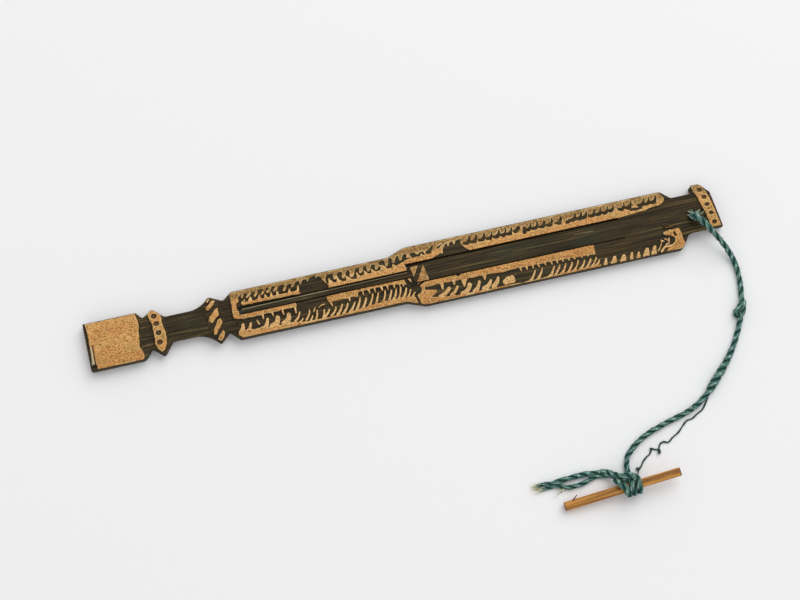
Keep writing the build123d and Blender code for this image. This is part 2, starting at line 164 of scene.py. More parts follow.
TOOTH_SOFT = 0.4            # pixels over which a tooth pales
SLIVER_SOFT = 0.5           # pixels over which the sliver's pale starts
ROUGH = 0.02                # roughness of the whole face, and its run in pixels
ROUGH_RUN = 5.0
SCRAPED = 0.03              # height of the ridges that scraping leaves on the ground, and on the tongue
TONGUE_SCRAPED = 0.015
SCRAPED_RUN = 3.0           # pixels across a ridge, and how many times longer it is along the strip
SCRAPED_DRAWN = 14
SCRAPED_SOFT = 0.5
DARKENED_REACH = 3.9            # the rind darkens to olive this far in from the upper edge
DARKENED_FULL = 1.6
DARKENED_START = 1.0            # length before the body over which that starts
TONGUE_DARKENED = 0.6           # how much the tongue's small faces are darkened
RIM = 0.16                  # the rind shows this far down the walls
OFF_RIND = -1.0             # value of the rind's edge on the back
FACE_ROWS = (34, 18, 28)    # lower rail, slot, upper rail
BACK_ROWS = (5, 3, 5)
STEP = 0.23                 # between columns
FINE_STEP = 0.15            # between columns on the beads and the plate
FINE_FROM = at["striped"] - 2.6
REACH = 14.0                # pixels round a carved shape in which it is worked out
SLOT_TIP_WIDTH = 2.4        # slot at the tongue's tip and before its shoulder
SLOT_REED_WIDTH = 2.7
SHOULDER_WALL = 0.03        # run of the slot's step, and of the steps into the relief
RECESS_WALL = 0.05
ROWS_HALF = 1.6             # past the slot, its rows keep this far from the hole's middle,
END_ROWS_Y = 0.2            # and at the strip's end from this Y

# Finish of the tongue
TONGUE_STEP = 0.4           # between columns
TONGUE_FINE_STEP = 0.12     # between columns on the small faces
TONGUE_FINE_RUN = 6.0
TONGUE_SHOULDER_STEP = 0.02
TONGUE_LEAN_RUN = 3.0       # the columns lean fully from this far before the shoulder
TONGUE_TOP_ROWS = 28
TONGUE_UNDER_ROWS = 9
BEVEL = 0.14
BEVEL_RUN = 0.25
RAISE = 0.25                # height of the small faces, and where their walls rise
RAISE_WALL = (-0.25, 0.1)
SHEEN = 0.5                 # painted highlight: how pale the reed's upper edge is, and the width over which that ends
SHEEN_RUN = (0.45, 0.1)
SCRATCH = (496, 8.2, 519, 7.2, 0, 0.6, 1.8)
SCRATCH_PALE = 0.22
SCRATCH_SOFT = 0.6
UNDER_BARE = 0.6            # how bare the tongue's underside is

# Lay of a cord of two plies, with shares of its radius, of a lay or of a turn
LAY = 6.6
TAIL_LAY = 7.0
THREAD_LAY = 1.8
CURL_LAY = 1.6
PLIES = 2
PLY_THICK = 0.58            # a ply's half thickness and half breadth
PLY_BROAD = 0.84
PLY_UNEVEN = 0.06
PLY_APART = 40.0            # keeps the plies' unevenness from being the same
LAY_WANDER = 0.07
WANDER_RUN = 1.6
YARNS = 4                   # in a ply
ROPE_AROUND = 24            # points round a ply
YARN_RIPPLE = 0.11
YARN_PACE = 0.8             # turns of a yarn in each lay
YARN_SHIFT = 1.7            # angle between the yarns of one ply and the next
SHADE_PACES = (1.9, 2.1, 2.4)   # change of shade along the cord, from ply to ply and from yarn to yarn
SPLINE_STEPS = 24
SPLINE_ORDER = 3
PATH_STEP = 0.25            # between the rings of a cord, of its small knots, of the thread and of its curls
KNOT_STEP = 0.2
THREAD_STEP = 0.12
CURL_STEP = 0.1
HAIR_BOW = 0.35             # most that a hair bows aside, as a share of its length

# Pull cord and its knots
CORD_SWELL = (              # length of cord from the hole, and how much thicker than its diameter it is there
    (0.0, 0.3), (5.0, 0.18), (12.0, 0.0), (50.0, 0.0), (53.5, 0.22), (61.0, 0.5), (65.0, 0.48),
    (67.5, 0.06),
    (70.0, 0.0),
)
CORD_UNEVEN = 0.03
CORD_UNEVEN_RUN = 9.0
CORD_RISE = ((0.0, 0.0, 0.0), (0.0, 0.0, 2.1), (1.5, -1.5, 3.5), (3.1, -4.1, 3.4))  # from the hole's mouth
CORD_FALL = ((97.4, -8.2, 6.0), (99.9, -11.6, 3.1), (101.7, -15.7, 1.2))
CORD_PLAN = (               # X, Y and lift off the floor
    (102.3, -20.6, 0), (101.7, -26.2, 0), (100.4, -32.0, 0.5), (98.3, -37.0, 0), (95.3, -42.3, 0),
    (91.3, -47.4, 0), (87.6, -50.9, 0), (84.7, -54.2, 0), (81.8, -56.6, 0), (78.4, -58.5, 0),
    (74.4, -59.9, 0),
    (67.6, -61.5, 0), (61.2, -63.7, 0), (56.3, -66.9, 0), (53.7, -70.4, 0),
)
CORD_INTO_HITCH = 1.3       # the cord runs on this far past the pivot, and climbs so much on the way
CORD_CLIMB = 0.5
KNOT_STATION = 2            # place of the cord knot in the cord's plan
KNOT_RADIUS = 0.8
KNOT_BIGHT = (              # place along the cord, place out to the grip's side and height
    (-3.0, 0.0, 1.0), (-2.2, -0.5, 1.5), (-1.0, 0.2, 2.0), (0.0, 1.4, 1.6), (0.9, 2.1, 1.1),
    (1.9, 1.6, 1.0),
    (2.0, 0.5, 1.4), (1.0, -0.2, 2.0), (-0.6, -0.4, 2.1), (-1.8, -0.2, 1.9), (-1.0, 0.9, 1.9),
    (0.6, 1.4, 2.2),
    (1.8, 0.8, 1.9), (2.8, 0.1, 1.1),
)
STOPPER_RADIUS = 0.75
STOPPER_TURNS = 1.7
STOPPER_STEP = 0.075        # between the coil's stations, as a share of it
STOPPER_START = math.atan2(1.0, -0.3)
STOPPER_RADII = (1.5, 0.6)
STOPPER_HEIGHTS = (0.9, 1.4)
STOPPER_RISE = (2.4, 3.0, GROUND)

# Hitch and tails
HITCH_RADIUS = 1.02
HITCH_FLOOR = 1.12          # least height of the hitch's middle line
HITCH_FINE = 3              # stations to each row of the table below, and steps to each station
HITCH_STEPS = 8
HITCH_TURNS = (             # angle round the stick, distance out from the first turn, place along the stick
    (-90.0, 0.0, -0.9), (-180.0, -0.4, -1.5), (-270.0, 0.0, -2.1), (-320.0, 0.2, -3.4), (-350.0, 0.6, -4.2),
    (-380.0, 0.5, -3.4), (-410.0, 0.2, -1.2), (-450.0, 0.0, 0.1), (-540.0, -0.4, 0.2), (-630.0, 0.1, 0.0),
    (-715.0, 0.1, 0.9), (-810.0, 0.0, 1.7), (-900.0, -0.4, 1.9), (-985.0, 0.1, 2.1), (-1020.0, 1.0, 2.2),
    (-1035.0, 1.7, 1.3), (-1047.0, 1.8, -0.6), (-1060.0, 1.7, -2.6),
)
TAIL_PLACE = (-7.8, 6.8, 0.0)   # in the toggle's frame
TAIL_HEADING = math.radians(174.0)
TAIL_GAP = 0.05
TAIL_THINNER = 0.35         # a tail ends this much thinner, over this length
TAIL_THIN_RUN = 6.0
UPPER_PLAN = (
    (43.5, -71.4, 0), (40.7, -71.1, 0), (37.7, -71.2, 0), (34.8, -71.3, 0), (31.9, -71.6, 0),
    (29.3, -71.8, 0),
    (27.9, -71.2, 0), (25.9, -71.4, 0),
)
LOWER_PLAN = (
    (50.4, -74.6, 2.2), (48.6, -73.4, 1.2), (46.4, -72.9, 0.2), (44.2, -72.5, 0), (42.0, -73.0, 0),
    (40.0, -73.8, 0), (37.8, -74.0, 0), (35.6, -74.1, 0), (33.9, -73.7, 0), (32.3, -72.9, 0),
    (30.6, -72.6, 0),
    (28.8, -72.9, 0), (26.8, -72.8, 0),
)

# Loose thread and the ways of its curls
THREAD_START = (83.9, -55.2)
THREAD_PLAN = (
    (83.3, -56.7, 0.2), (82.0, -58.5, 0), (80.8, -59.8, 0), (79.4, -60.3, 0), (77.3, -61.7, 0),
    (75.5, -61.7, 0),
    (74.0, -63.0, 0), (72.0, -65.0, 0), (69.9, -65.9, 0), (68.3, -67.4, 0), (67.0, -66.5, 0),
    (65.6, -67.0, 0),
    (65.0, -68.6, 0), (63.7, -68.4, 0), (62.9, -67.8, 0), (61.8, -69.6, 0), (60.7, -70.0, 0),
    (59.3, -71.2, 0),
    (58.7, -72.2, 0), (57.9, -72.9, 0), (57.1, -73.7, 0.2), (56.8, -74.6, 1.2),
)
CURLS = (
    ((64.9, -68.3, 0.3), (65.2, -69.0, 0.3), (65.1, -69.8, 0.4), (64.5, -69.7, 0.8), (64.5, -69.0, 0.9),
     (65.0, -69.2, 0.8)),
    ((63.2, -68.2, 0.3), (62.8, -67.8, 0.4), (62.4, -67.7, 0.4), (62.6, -68.1, 0.7)),
    ((57.8, -73.0, 0.3), (57.1, -72.7, 0.4), (56.8, -73.0, 0.6), (57.2, -73.5, 0.8), (57.7, -73.2, 0.7)),
)
CURL_RADIUS = 0.24
THREAD_UNEVEN = 0.18
THREAD_UNEVEN_RUN = 3.0
THREAD_YARNS = 2
THREAD_AROUND = 12

# Frayed fibres
FRAY_PLACE = (33.4, -74.0, 0.6)
FRAY_WAY = (-1.0, -0.32, 0.0)
FRAY_HAIRS = 14
TAIL_HAIRS = 26
TAIL_END_RINGS = 6          # last rings of a tail that give its way
TAIL_HAIR_BACK = 1.6        # they start up to this far back from a tail's end
TAIL_HAIR_SPREAD = 0.28
TAIL_HAIR_FAN = (0.16, 0.17, 0.08)
TAIL_HAIR_LENGTHS = (1.2, 4.0)
TAIL_HAIR_RADIUS = 0.13
MOUTH_MIDDLE = (92.6, -0.4, GROUND + 2.3)
MOUTH_ENDS = (              # with the height over the ground
    (90.9, 1.1, 0.5), (91.8, 1.4, 0.9), (94.3, 0.6, 1.4), (95.5, -0.1, 1.6), (94.6, -0.9, 3.2),
    (92.0, -2.0, 2.6),
    (94.0, -2.2, 4.4), (90.6, 0.0, 0.6), (93.2, 0.9, 1.0), (93.0, -2.6, 3.6), (91.2, -1.4, 1.8),
)
MOUTH_SPREAD = 0.16
MOUTH_FLAT = (1, 1, 0.6)
MOUTH_HAIR_RADIUS = 0.3
MOUTH_GAP = 0.05
FUZZ = 170
FUZZ_FROM = 8               # rings of the cord without fuzz at its start and its end
FUZZ_END = 30
FUZZ_ROOT = 0.8             # share of the cord's radius
FUZZ_LEAN = 1.6
FUZZ_LENGTHS = (0.5, 1.5)
FUZZ_RADIUS = 0.035

# Split stick
STICK_CORNERS = (           # angle of each corner, and its reach as a share of half the thickness
    (16.0, 1.1), (84.0, 1.06), (142.0, 1.12), (196.0, 1.08), (255.0, 1.1), (320.0, 1.06),
)
STICK_AROUND = 60
STICK_RINGS = 70
STICK_END_RUN = 0.6
STICK_END_RINGS = ((0.0, 0.5), (0.0, 0.88), (0.2, 0.98))    # distance from the end, and share of the section
STICK_WORN = 0.035          # share of the section worn off, in hollows drawn out along the stick
STICK_WORN_RUN = 6.0
STICK_WORN_PACES = (2.5, 2.2)
STICK_SIDE = 0.9            # rings of at least this share of the section are the stick's side
STICK_CREASE = 40.0
FACET_ANGLE = 62            # middle of the weathered facet, and the angles over which it ends
FACET_ENDS = (34, 22)
FACET_FULL = 8              # the facet grows along the stick, and is full this far before its thin end
CUT_RUN = 0.5
CUT_STAIN = 0.9             # stain at a cut end's edge and in its middle
END_STAIN = 0.45
SPLINTER = ((-18.6, 1.1, 0.6), (-17.0, 2.3, 1.0))   # root and tip, in the toggle's frame
SPLINTER_LENGTH = 2.3
SPLINTER_RADIUS = 0.27
SPLINTER_STAIN = 0.5

# Floor and light, in metres
FLOOR_REACH = 3.0
LAMP_PLACE = np.array((1.1, 1.3, 1.9))
LAMP_SIZE = 2.2
LAMP_POWER = 37.0
ROOM_LIGHT = 0.61

# Camera
CLIP_START = 0.01           # metres
CAMERA_AIM = np.array((-2.94, -6.41, 4.2))
CAMERA_ROLL = math.radians(12.53)
CAMERA_TILT = math.radians(9.0)
CAMERA_DISTANCE = 585.5
LENS = 85.0
SENSOR = 36.0

cord_radius = CORD_DIAMETER / 2
cord_z = cord_radius + FLOOR_GAP
thread_z = THREAD_DIAMETER / 2 + FLOOR_GAP
ply_z = PLY_DIAMETER / 2 + FLOOR_GAP
random = np.random.default_rng(SEED)

# Carving, read along the strip in pixels of the photograph: u from the grip end, v up from near its middle
PIXEL = 0.3106              # millimetres
V_MIDDLE = 1.4              # v on the strip's middle line
FAR = 60.0                  # further than any carved shape reaches
GRIP_FACE = (
    (2.6, 24.8), (3.5, 17), (3.7, 10), (3.4, 2), (3.8, -6), (3.7, -16), (5.4, -18), (6.4, -22.4),
    (54, -22.2),
    (54.3, -16), (52, -10), (53.5, 3), (55, 12), (54.5, 18), (53, 24.8),
)
GRIP_SLIVER = ((4.0, 1.5), (5.0, 1), (4.8, -16), (2.0, -17))
PITTED_FACE = (
    (65, 22), (69.5, 25), (74, 22.5), (78, 19), (78, 10), (80, 0), (79.5, -10), (76, -17), (73, -19),
    (69, -14.5), (67.5, -10), (68.5, 0), (68.5, 10), (66, 17),
)
BEAD_PITS = ((71.5, 17.8), (72.6, 9.8), (73, 0.3), (72.4, -9))
STRIPED_TOP = (
    (123, 20), (127, 24), (131, 23.5), (135, 17), (138, 2), (138, -12), (134.5, -20.5), (129, -20),
    (126, -12), (123.5, 0), (122.5, 12),
)
STRIPES = (
    ((125, 20.5), (128, 24), (129, 23), (126, 19.5)),
    ((123.5, 13), (125.5, 11), (134, 19), (132.5, 21.3), (128, 18.4), (124, 15)),
    ((124, 0.5), (127, -1.8), (135.2, 5.5), (135.2, 12.5), (133, 12), (125.5, 5)),
    ((127, -9), (126.8, -13.5), (129, -13.5), (137.2, -3), (135.8, 1.5), (133, 0)),
    ((129, -19), (134, -20.8), (137.2, -13), (136, -10.6), (133, -14.5)),
)
BODY_FACE = (
    (149.3, 40), (149.3, 10), (148.8, 3), (149.2, -1.6), (153, -3.4), (153.4, -11), (151.6, -14),
    (150.4, -18),
    (153, -21), (153, -40),
    (612, -40), (606.5, -24), (605, -14), (603.5, -9), (597.5, 13), (590.5, 18),
    (595.8, 22), (596.2, 25.6), (593.4, 29.4), (591, 40),
)
PLATE_FACE = (
    (626, 29), (628, 33), (635, 33), (638, 25), (639.8, 19.5), (641, 13), (642.8, 4), (644.6, -7),
    (645.8, -17.6), (635.6, -17.6), (635, -12), (633.5, 0), (630.8, 10), (628.6, 20), (626.5, 25),
)
PLATE_PITS = ((633.3, 25), (635.8, 17), (636.6, 8.8), (638.6, -0.5), (639.8, -10))
BEAD_PIT = (6.6, 5.6)       # size along and across the strip
PLATE_PIT = (5.6, 4.8)
PIT_BARE = 0.3              # how much bare bamboo shows in a pit

# Ground cut away between the bands of the two rails
GROOVES = (
    (
        (153.8, 4.5), (153.8, 12.5), (156.8, 13), (157, 18.5), (160.5, 20.5), (170, 20.2), (180, 21.5),
        (192, 22), (200, 21), (213, 20), (218.5, 21.6), (224, 21.7), (230, 21.5), (236, 23.6), (240.5, 22),
        (243, 19), (245.5, 14.5), (248, 10.5), (247.3, 6), (219.5, 6), (219, 9.5), (216, 12), (161, 12.2),
        (160, 9), (162, 4.5),
    ),
    (
        (247, 12.5), (262, 11.5), (277, 11.2), (281, 13), (300, 14), (303, 15), (314, 14.2), (320, 16),
        (327, 17.8), (330, 19.3), (345, 19.8), (357, 20.5), (358, 24.5), (345, 24), (335, 25.5), (325, 25),
        (316, 24.5), (306, 23.5), (300, 22), (285, 21.5), (260, 21.5), (246, 21.5),
    ),
    (
        (354.5, 13), (355.5, 15), (367, 20), (369.5, 25), (372, 27.3), (385, 28), (387, 21.5),
        (393.5, 14.8), (393, 13),
    ),
    ((545, 12), (600, 12), (597, 17.4), (586, 18.4), (575, 16.4), (560, 15.4), (545, 14.2)),
    (
        (149, -2.6), (158, -4.2), (166, -4.4), (212.6, -3.6), (212.6, 2.5), (244.6, 2.5), (243.4, -2.2),
        (244.8, -6.2),
        (274.6, -6.4), (275, -2.8), (290, -2.2), (312, -2.9), (320, -4), (327, -6.5), (331, -3), (336, -8),
        (338.5, -13), (336.5, -16.5), (331, -19.5), (322, -18), (315, -17.6), (300, -17.4), (285, -18),
        (270, -19.6), (255, -20.6), (240, -20.8), (225, -20.6), (213, -19.5), (205, -18), (195, -18.4),
        (185, -18), (178, -17.8), (170, -16.8), (160, -15.4), (150, -15),
    ),
    (
        (341.5, -12.3), (356, -12), (380, -12.3), (392, -13), (405, -12.8), (420, -14), (432, -13.2),
        (451, -13.8), (470, -14.2), (490, -15), (515.5, -16.5), (516, -8), (514.5, -6), (515.5, -3),
        (602, -3), (603.5, -8.4), (592, -8.6), (587.5, -9.2), (586.5, -11), (589, -13), (594, -14.5),
        (597.5, -17), (597, -21), (592, -24.5), (584, -30), (520, -30), (519.5, -27.4), (500, -27.5),
        (480, -27.6), (450, -27.8), (435, -28), (420, -27.4), (400, -27.2), (380, -27.2), (366, -26.2),
        (356, -25), (346, -23.2), (352, -19.5), (352.5, -17), (349, -16.3), (341, -15),
    ),
)

# Ground round the tongue's root
FIELD = ((536, -9), (607, -7), (601, 13), (536, 14))

# Teeth left standing in the grooves: from u, v to u, v, sway of the middle, width at each end
HOOKS = (
    (162, 21, 161, 17.5, 0, 3, 2), (161, 11.5, 163, 14.5, 0, 3, 1.5),
    (166, 16.8, 169.5, 20.4, -0.5, 2.2, 2.8), (174, 16.2, 176.5, 20.8, -0.5, 2.4, 3),
    (181, 16.5, 184.5, 22, -0.6, 2.2, 3), (187, 17.2, 191, 22, -0.5, 3, 3.4),
    (193.8, 17, 197, 21, -0.4, 2.4, 3), (203.5, 15.5, 206.5, 21, -0.4, 2.2, 3),
    (212, 17.6, 214.5, 21.2, -0.3, 2.2, 3), (168.5, 11.5, 169.5, 15.6, 0, 5, 1),
    (178, 11.5, 178.5, 15.8, 0, 4, 1.6), (184.5, 11.5, 184, 15.2, 0, 3, 1),
    (190, 11.5, 190.6, 16.2, 0, 3, 1.2), (196, 10.5, 196.5, 15.2, 0, 3, 2),
    (208, 10.5, 209, 15.2, 0, 2.8, 1.6), (206, 10.6, 217, 11.6, -0.6, 2.4, 2.2),
    (217, 11.5, 218, 17, 0, 2.4, 1.6),
)
LOBES = (
    (246, 23, 244.5, 18, 0, 6, 3), (257, 22.8, 255.5, 16.6, 0.4, 6, 3), (266, 22.8, 264, 15.6, 0.4, 6, 3),
    (274.5, 22.8, 272.5, 15.6, 0.4, 7, 4), (283.5, 22.8, 282, 17, 0.3, 5, 3),
    (291.5, 22.8, 290, 17, 0.3, 5, 3), (299.5, 22.8, 298, 16.6, 0.3, 5, 2.5),
    (309.5, 23, 309, 18, 0, 4.2, 2.6), (317.5, 25, 316.5, 20, 0, 4, 2.5), (325, 26, 323.5, 20.6, 0, 4, 2.5),
    (333, 27, 331.5, 22, 0, 4, 3), (343, 28, 341.5, 23.6, 0, 4, 3), (351, 28, 350, 22.2, 0, 7, 4),
    (222, 23, 220.8, 18.4, 0, 3.6, 1.8), (229.5, 23.6, 228.2, 19.6, 0, 3.2, 1.6),
    (238.5, 24.6, 237.4, 21.2, 0, 3, 1.5), (374.5, 29.4, 373.4, 24.8, 0, 3.4, 1.6),
    (381, 29.4, 379.8, 25.2, 0, 3.2, 1.5),
)
SPIKES = (
    (250.8, 11, 249.5, 17.4, 0, 5, 0.8), (259.4, 11, 258, 17.2, 0, 5, 0.8),
    (269, 11, 266.6, 16.4, -0.3, 5.6, 0.8), (279, 12, 278, 17, 0, 4, 0.8),
    (287, 13.5, 285.5, 17.4, 0, 4, 0.8), (294.5, 13.5, 293, 17.4, 0, 4, 0.8),
    (305.5, 14, 302, 19.8, -0.5, 6.5, 1.2), (316, 14.5, 315, 17, 0, 4, 0.8),
    (334.4, 19, 334, 22.4, 0, 2.6, 0.8), (345.5, 19.5, 345, 22, 0, 3, 0.8), (357, 20, 357, 23.6, 0, 3, 0.8),
    (365.5, 19, 365, 24, 0, 3.6, 1.6),
)
LEAVES = (
    (152.8, -17.6, 156.4, -9.6, -1, 5, 3), (160.4, -16.6, 164.2, -9.6, -1, 4, 2),
    (171, -8.6, 172.6, -12.4, 0, 1.4, 2), (175.4, -18.6, 181.4, -9.4, -1.4, 6, 2.6),
    (185.4, -18, 191.8, -10.4, -1.6, 7, 4.2), (197.2, -18, 203, -9.8, -1.6, 7, 4.4),
    (208.2, -17.6, 214.4, -9.8, -0.8, 2.2, 1.6), (211.8, -19.6, 216, -16.2, -0.5, 2, 1.4),
    (219.2, -18.6, 224, -10.2, -0.8, 2, 1.4), (223.3, -20, 226, -15.6, -0.4, 2, 1.4),
    (228.8, -20, 231.6, -12.2, -0.5, 2.4, 1.6), (236, -20.4, 238.4, -13, -0.4, 2.8, 1.8),
)
SPURS = (
    (177.5, -2.5, 177.8, -8.4, 0, 2.2, 1.3), (187, -2.5, 187.8, -8, 0, 2, 1.2),
    (198, -2.5, 198.4, -8.6, 0, 2.2, 1.2), (210.6, -2, 210.6, -9.8, 0, 2.4, 1.6),
    (228.4, -12, 230.6, -8, 0.3, 1.4, 1), (233.4, -9.8, 240, -7.2, 0.6, 1, 1.4),
    (247.8, -11.2, 246.2, -7.6, 0, 1.2, 2.4), (265.4, -5.5, 265.6, -9.4, 0, 2.4, 1.2),
    (273.4, -4, 273.4, -7, 0, 2.6, 1.6), (358.5, -11, 358.7, -17.4, 0, 4, 2),
    (371, -11, 371, -15.6, 0, 4, 1.4), (381.6, -11, 380.4, -19, 0, 7, 2.2),
    (402, -12, 402, -17.6, 0, 5, 1.4),
)
SHORT_SPURS_LEFT = (280, 286, 292, 299, 305, 311.5, 317, 321)
SHORT_SPURS_RIGHT = (439, 445, 451.5, 457, 464, 470.5, 476, 482, 488, 494, 501, 507.5, 513.5)
BLADES_LEFT = (
    (243.5, -13.4), (251, -12.4), (257, -11.4), (263, -11.4), (270, -11.4), (276, -9), (282, -10),
    (289, -7.6), (295, -7.6), (302, -7), (308, -8.4), (313, -8.4), (318, -7.4), (323, -9.4), (327, -11.4),
    (332, -13.4),
)
BLADES_WIDE = (
    (355, -24.6, 364.6, -18.6, -1.2, 4.6, 3.4), (366, -25, 373.6, -18.4, -1, 3.4, 2.2),
    (377.5, -26.6, 386, -19.4, -1.4, 5, 4), (390, -26.6, 395.8, -18.6, -0.8, 4.4, 3),
    (400, -26, 407.6, -19.4, -1, 5, 2.4), (409, -26, 415.2, -18.6, -0.8, 5, 2.6),
    (421.5, -24, 429, -24, 0, 5, 5), (424, -21.4, 429, -21.6, 0, 3.8, 4.4),
)
BLADES_RIGHT = (
    (452.8, -19.4), (460.5, -18.6), (472.5, -19.4), (478.2, -19.4), (484.6, -19.2), (491, -19.6),
    (497.2, -19.4), (503.6, -20), (509.8, -20.2), (515.2, -20), (518.6, -23),
)
EDGE_TEETH = (
    (520.4, 525.8, -22.8), (526.8, 535.6, -22.6), (536, 545.2, -22.8), (547.4, 552.6, -22.4),
    (554.2, 560, -23), (560.4, 569, -21.4), (569.2, 577, -20.8),
)
FLECKS = (
    (578.5, -26, 584, -17.6, -0.6, 1.4, 1), (581.5, -27.5, 588.5, -21, -0.5, 2, 1.4),
    (583, -17, 586, -18.6, 0, 1.4, 1), (587, -16.4, 591, -19, 0.4, 1.2, 1),
    (592, -16.6, 590, -22, 0, 1.2, 1), (586, -24, 594, -24.6, 0, 1.6, 2.2),
    (590, -5.4, 598, -6, 0, 0.9, 0.5), (588.5, -2.8, 594, -3.4, 0, 0.8, 0.4),
)

# Single gouge cuts: the upper right rail's commas by the u of their tails, and the odd ones
COMMAS = (
    394.5, 401.5, 410, 417.4, 425, 431.8, 438, 457.4, 464.6, 471.6, 479.6, 489, 503.6, 510, 515, 523.6, 530,
    537, 554, 561, 574.6, 580, 586.4,
)
GOUGES = (
    (160.5, 8.2, 219, 7.6, 0, 2.2, 2), (351, 22.2, 358, 27.6, -0.8, 3, 1.4),
    (363, 24.6, 367, 27.4, -0.3, 2, 1), (384.5, 25, 386.5, 28.2, 0, 3, 1.4),
    (442.5, 24, 446.5, 27, -0.6, 4.6, 4), (451.4, 20.4, 452.4, 25.4, 0, 4, 3),
    (416.4, 21.6, 416.4, 19.8, 0, 2, 1), (495.5, 21.8, 498.6, 23.4, -0.6, 4, 2.4),
    (540.6, 23.6, 544.6, 27.2, -0.8, 4.6, 3), (561, 20, 571, 20, -0.4, 3.4, 3.4),
    (586, 22.6, 588.6, 27.4, -0.6, 3, 1.2), (597.8, -11.8, 598.6, -15, 0, 2.2, 2.2),
    (376.6, -5.6, 377.4, -8.2, 0, 5, 1.4), (324, 1, 334, -13, -1.2, 3, 6),
    (331.2, -17, 333.6, -27.4, 0, 2.2, 2.8), (335, -9.6, 341, -6.6, 0, 2.4, 1.6),
    (388.5, -9.8, 388.7, -9.7, 0, 1.3, 1.3), (543, 17.4, 546, 17, 0, 0.9, 0.5),
    (6.0, 2, 5.8, -23, 0, 1.0, 1.8),
)
TONGUE_FACES = (
    ((331.6, 10.6), (339.4, 11.2), (336.6, 6.6), (333, 0.6)),
    ((344.6, 11.6), (346.4, 1), (347.4, -5), (335, -5.2), (340.4, 3.4)),
)

# Strokes that repeat, with the u of each one: short spurs and the two cuts of a comma
SPUR_LEFT = (0, -2, 0.3, -6.4, 0, 2.2, 1.1)
SPUR_RIGHT = (0, -13.6, 0.6, -17, 0, 2.2, 0.9)
COMMA_CUTS = ((-5.2, 23.4, -1.0, 22.8, -0.4, 2.6, 4.2), (-1.6, 22.8, 1.7, 29.2, -1.0, 3.8, 1.2))
STROKE_PLACES = 7           # places on a stroke's middle line

# Blades and teeth that stand on the lower band
BLADE_LEFT = (-20.0, 6.4, 2.6)      # v of the foot, lean and width
BLADE_RIGHT = (-28.4, 7.0, 2.5)
BLADE_BOW = 0.13            # share of the lean
BLADE_TIP = 0.6             # share of the width
TOOTH_FOOT = -32.0
TOOTH_BACK = (0.6, 0.4)     # the foot's two corners lie this far back
TOOTH_TOP = 0.7             # share of a tooth's width at which its flat top starts


def unit(vectors):
    """Vectors scaled to length one."""
    return vectors / np.linalg.norm(vectors, axis=-1, keepdims=True)


def smooth(low, high, value):
    """Rises smoothly from 0 at low to 1 at high."""
    share = np.clip((value - low) / (high - low), 0, 1)
    return share * share * (3 - 2 * share)


def wobble(u, v, reach, waves=7):
    """Smooth random field between about -1 and 1: a sum of waves of random heading, about reach long."""
    heading = random.uniform(0, 2 * math.pi, waves)
    pace = 2 * math.pi / (reach * random.uniform(*WAVE_SHARES, waves))
    phase = random.uniform(0, 2 * math.pi, waves)
    total = sum(
        np.sin(p * (u * math.cos(h) + v * math.sin(h)) + f) for h, p, f in zip(heading, pace, phase))
    return total / math.sqrt(2 * waves)


def add(name, data):
    """New object in the scene."""
    made = bpy.data.objects.new(name, data)
    bpy.context.scene.collection.objects.link(made)
    return made


def put_mesh(name, mesh_parts, material, body, crease=70.0):
    """New smooth piece in metres from points in millimetres, faces and named values at the points."""
    points, faces, values = mesh_parts
    mesh = bpy.data.meshes.new(name)
    mesh.from_pydata((np.asarray(points).reshape(-1, 3) * MM).tolist(), [], faces)
    mesh.shade_smooth()
    mesh.set_sharp_from_angle(angle=math.radians(crease))
    for value_name, value in values.items():
        attribute = mesh.attributes.new(value_name, "FLOAT", "POINT")
        attribute.data.foreach_set("value", np.asarray(value, np.float32).ravel())
    mesh.materials.append(material)
    mesh.validate()
    piece = add(name, mesh)
    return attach(piece, body) if body else piece


def used_only(points, faces, values):
    """Drops the points that no face uses, and numbers the rest anew."""
    used, numbers = np.unique(np.concatenate(faces), return_inverse=True)
    ends = np.cumsum([len(face) for face in faces])[:-1]
    faces = [face.tolist() for face in np.split(numbers, ends)]
    return points[used], faces, {name: value[used] for name, value in values.items()}


def joined(parts):
    """Several sets of points, faces and values as one set."""
    points, faces, values = [], [], {name: [] for name in parts[0][2]}
    count = 0
    for part_points, part_faces, part_values in parts:
        points.append(np.asarray(part_points).reshape(-1, 3))
        faces += [[count + number for number in face] for face in part_faces]
        count += len(points[-1])
        for name, value in part_values.items():
            values[name].append(np.ravel(value))
    return np.concatenate(points), faces, {name: np.concatenate(value) for name, value in values.items()}


def tube_faces(tubes, rings, around):
    """Quads of closed tubes whose points run tube by tube, ring by ring, and a cap on each end."""
    tube, ring, corner = np.meshgrid(np.arange(tubes), np.arange(rings - 1), np.arange(around), indexing="ij")
    start = (tube * rings + ring) * around
    after = (corner + 1) % around
    quads = np.stack((start + corner, start + after, start + around + after, start + around + corner), -1)
    first = np.arange(tubes)[:, None] * rings * around + np.arange(around)
    caps = first[:, ::-1].tolist() + (first + (rings - 1) * around).tolist()
    return quads.reshape(-1, 4).tolist() + caps


def spline_points(route, spacing):
    """Points at an even spacing along the NURBS spline that has the route as its control points."""
    curve = bpy.data.curves.new("route", "CURVE")
    curve.dimensions = "3D"
    curve.resolution_u = SPLINE_STEPS
    spline = curve.splines.new("NURBS")
    spline.points.add(len(route) - 1)
    spline.points.foreach_set("co", np.insert(route * MM, 3, 1.0, axis=1).ravel())
    spline.order_u = SPLINE_ORDER
    spline.use_endpoint_u = True
    holder = add("route", curve)
    line = bpy.data.meshes.new_from_object(holder.evaluated_get(bpy.context.evaluated_depsgraph_get()))
    points = np.empty(len(line.vertices) * 3)
    line.vertices.foreach_get("co", points)
    bpy.data.objects.remove(holder)
    bpy.data.meshes.remove(line)
    return even(points.reshape(-1, 3) / MM, spacing)


def lengths(path):
    """Distance of each point of a path from its start, along the path."""
    return np.concatenate(([0.0], np.cumsum(np.linalg.norm(np.diff(path, axis=0), axis=1))))


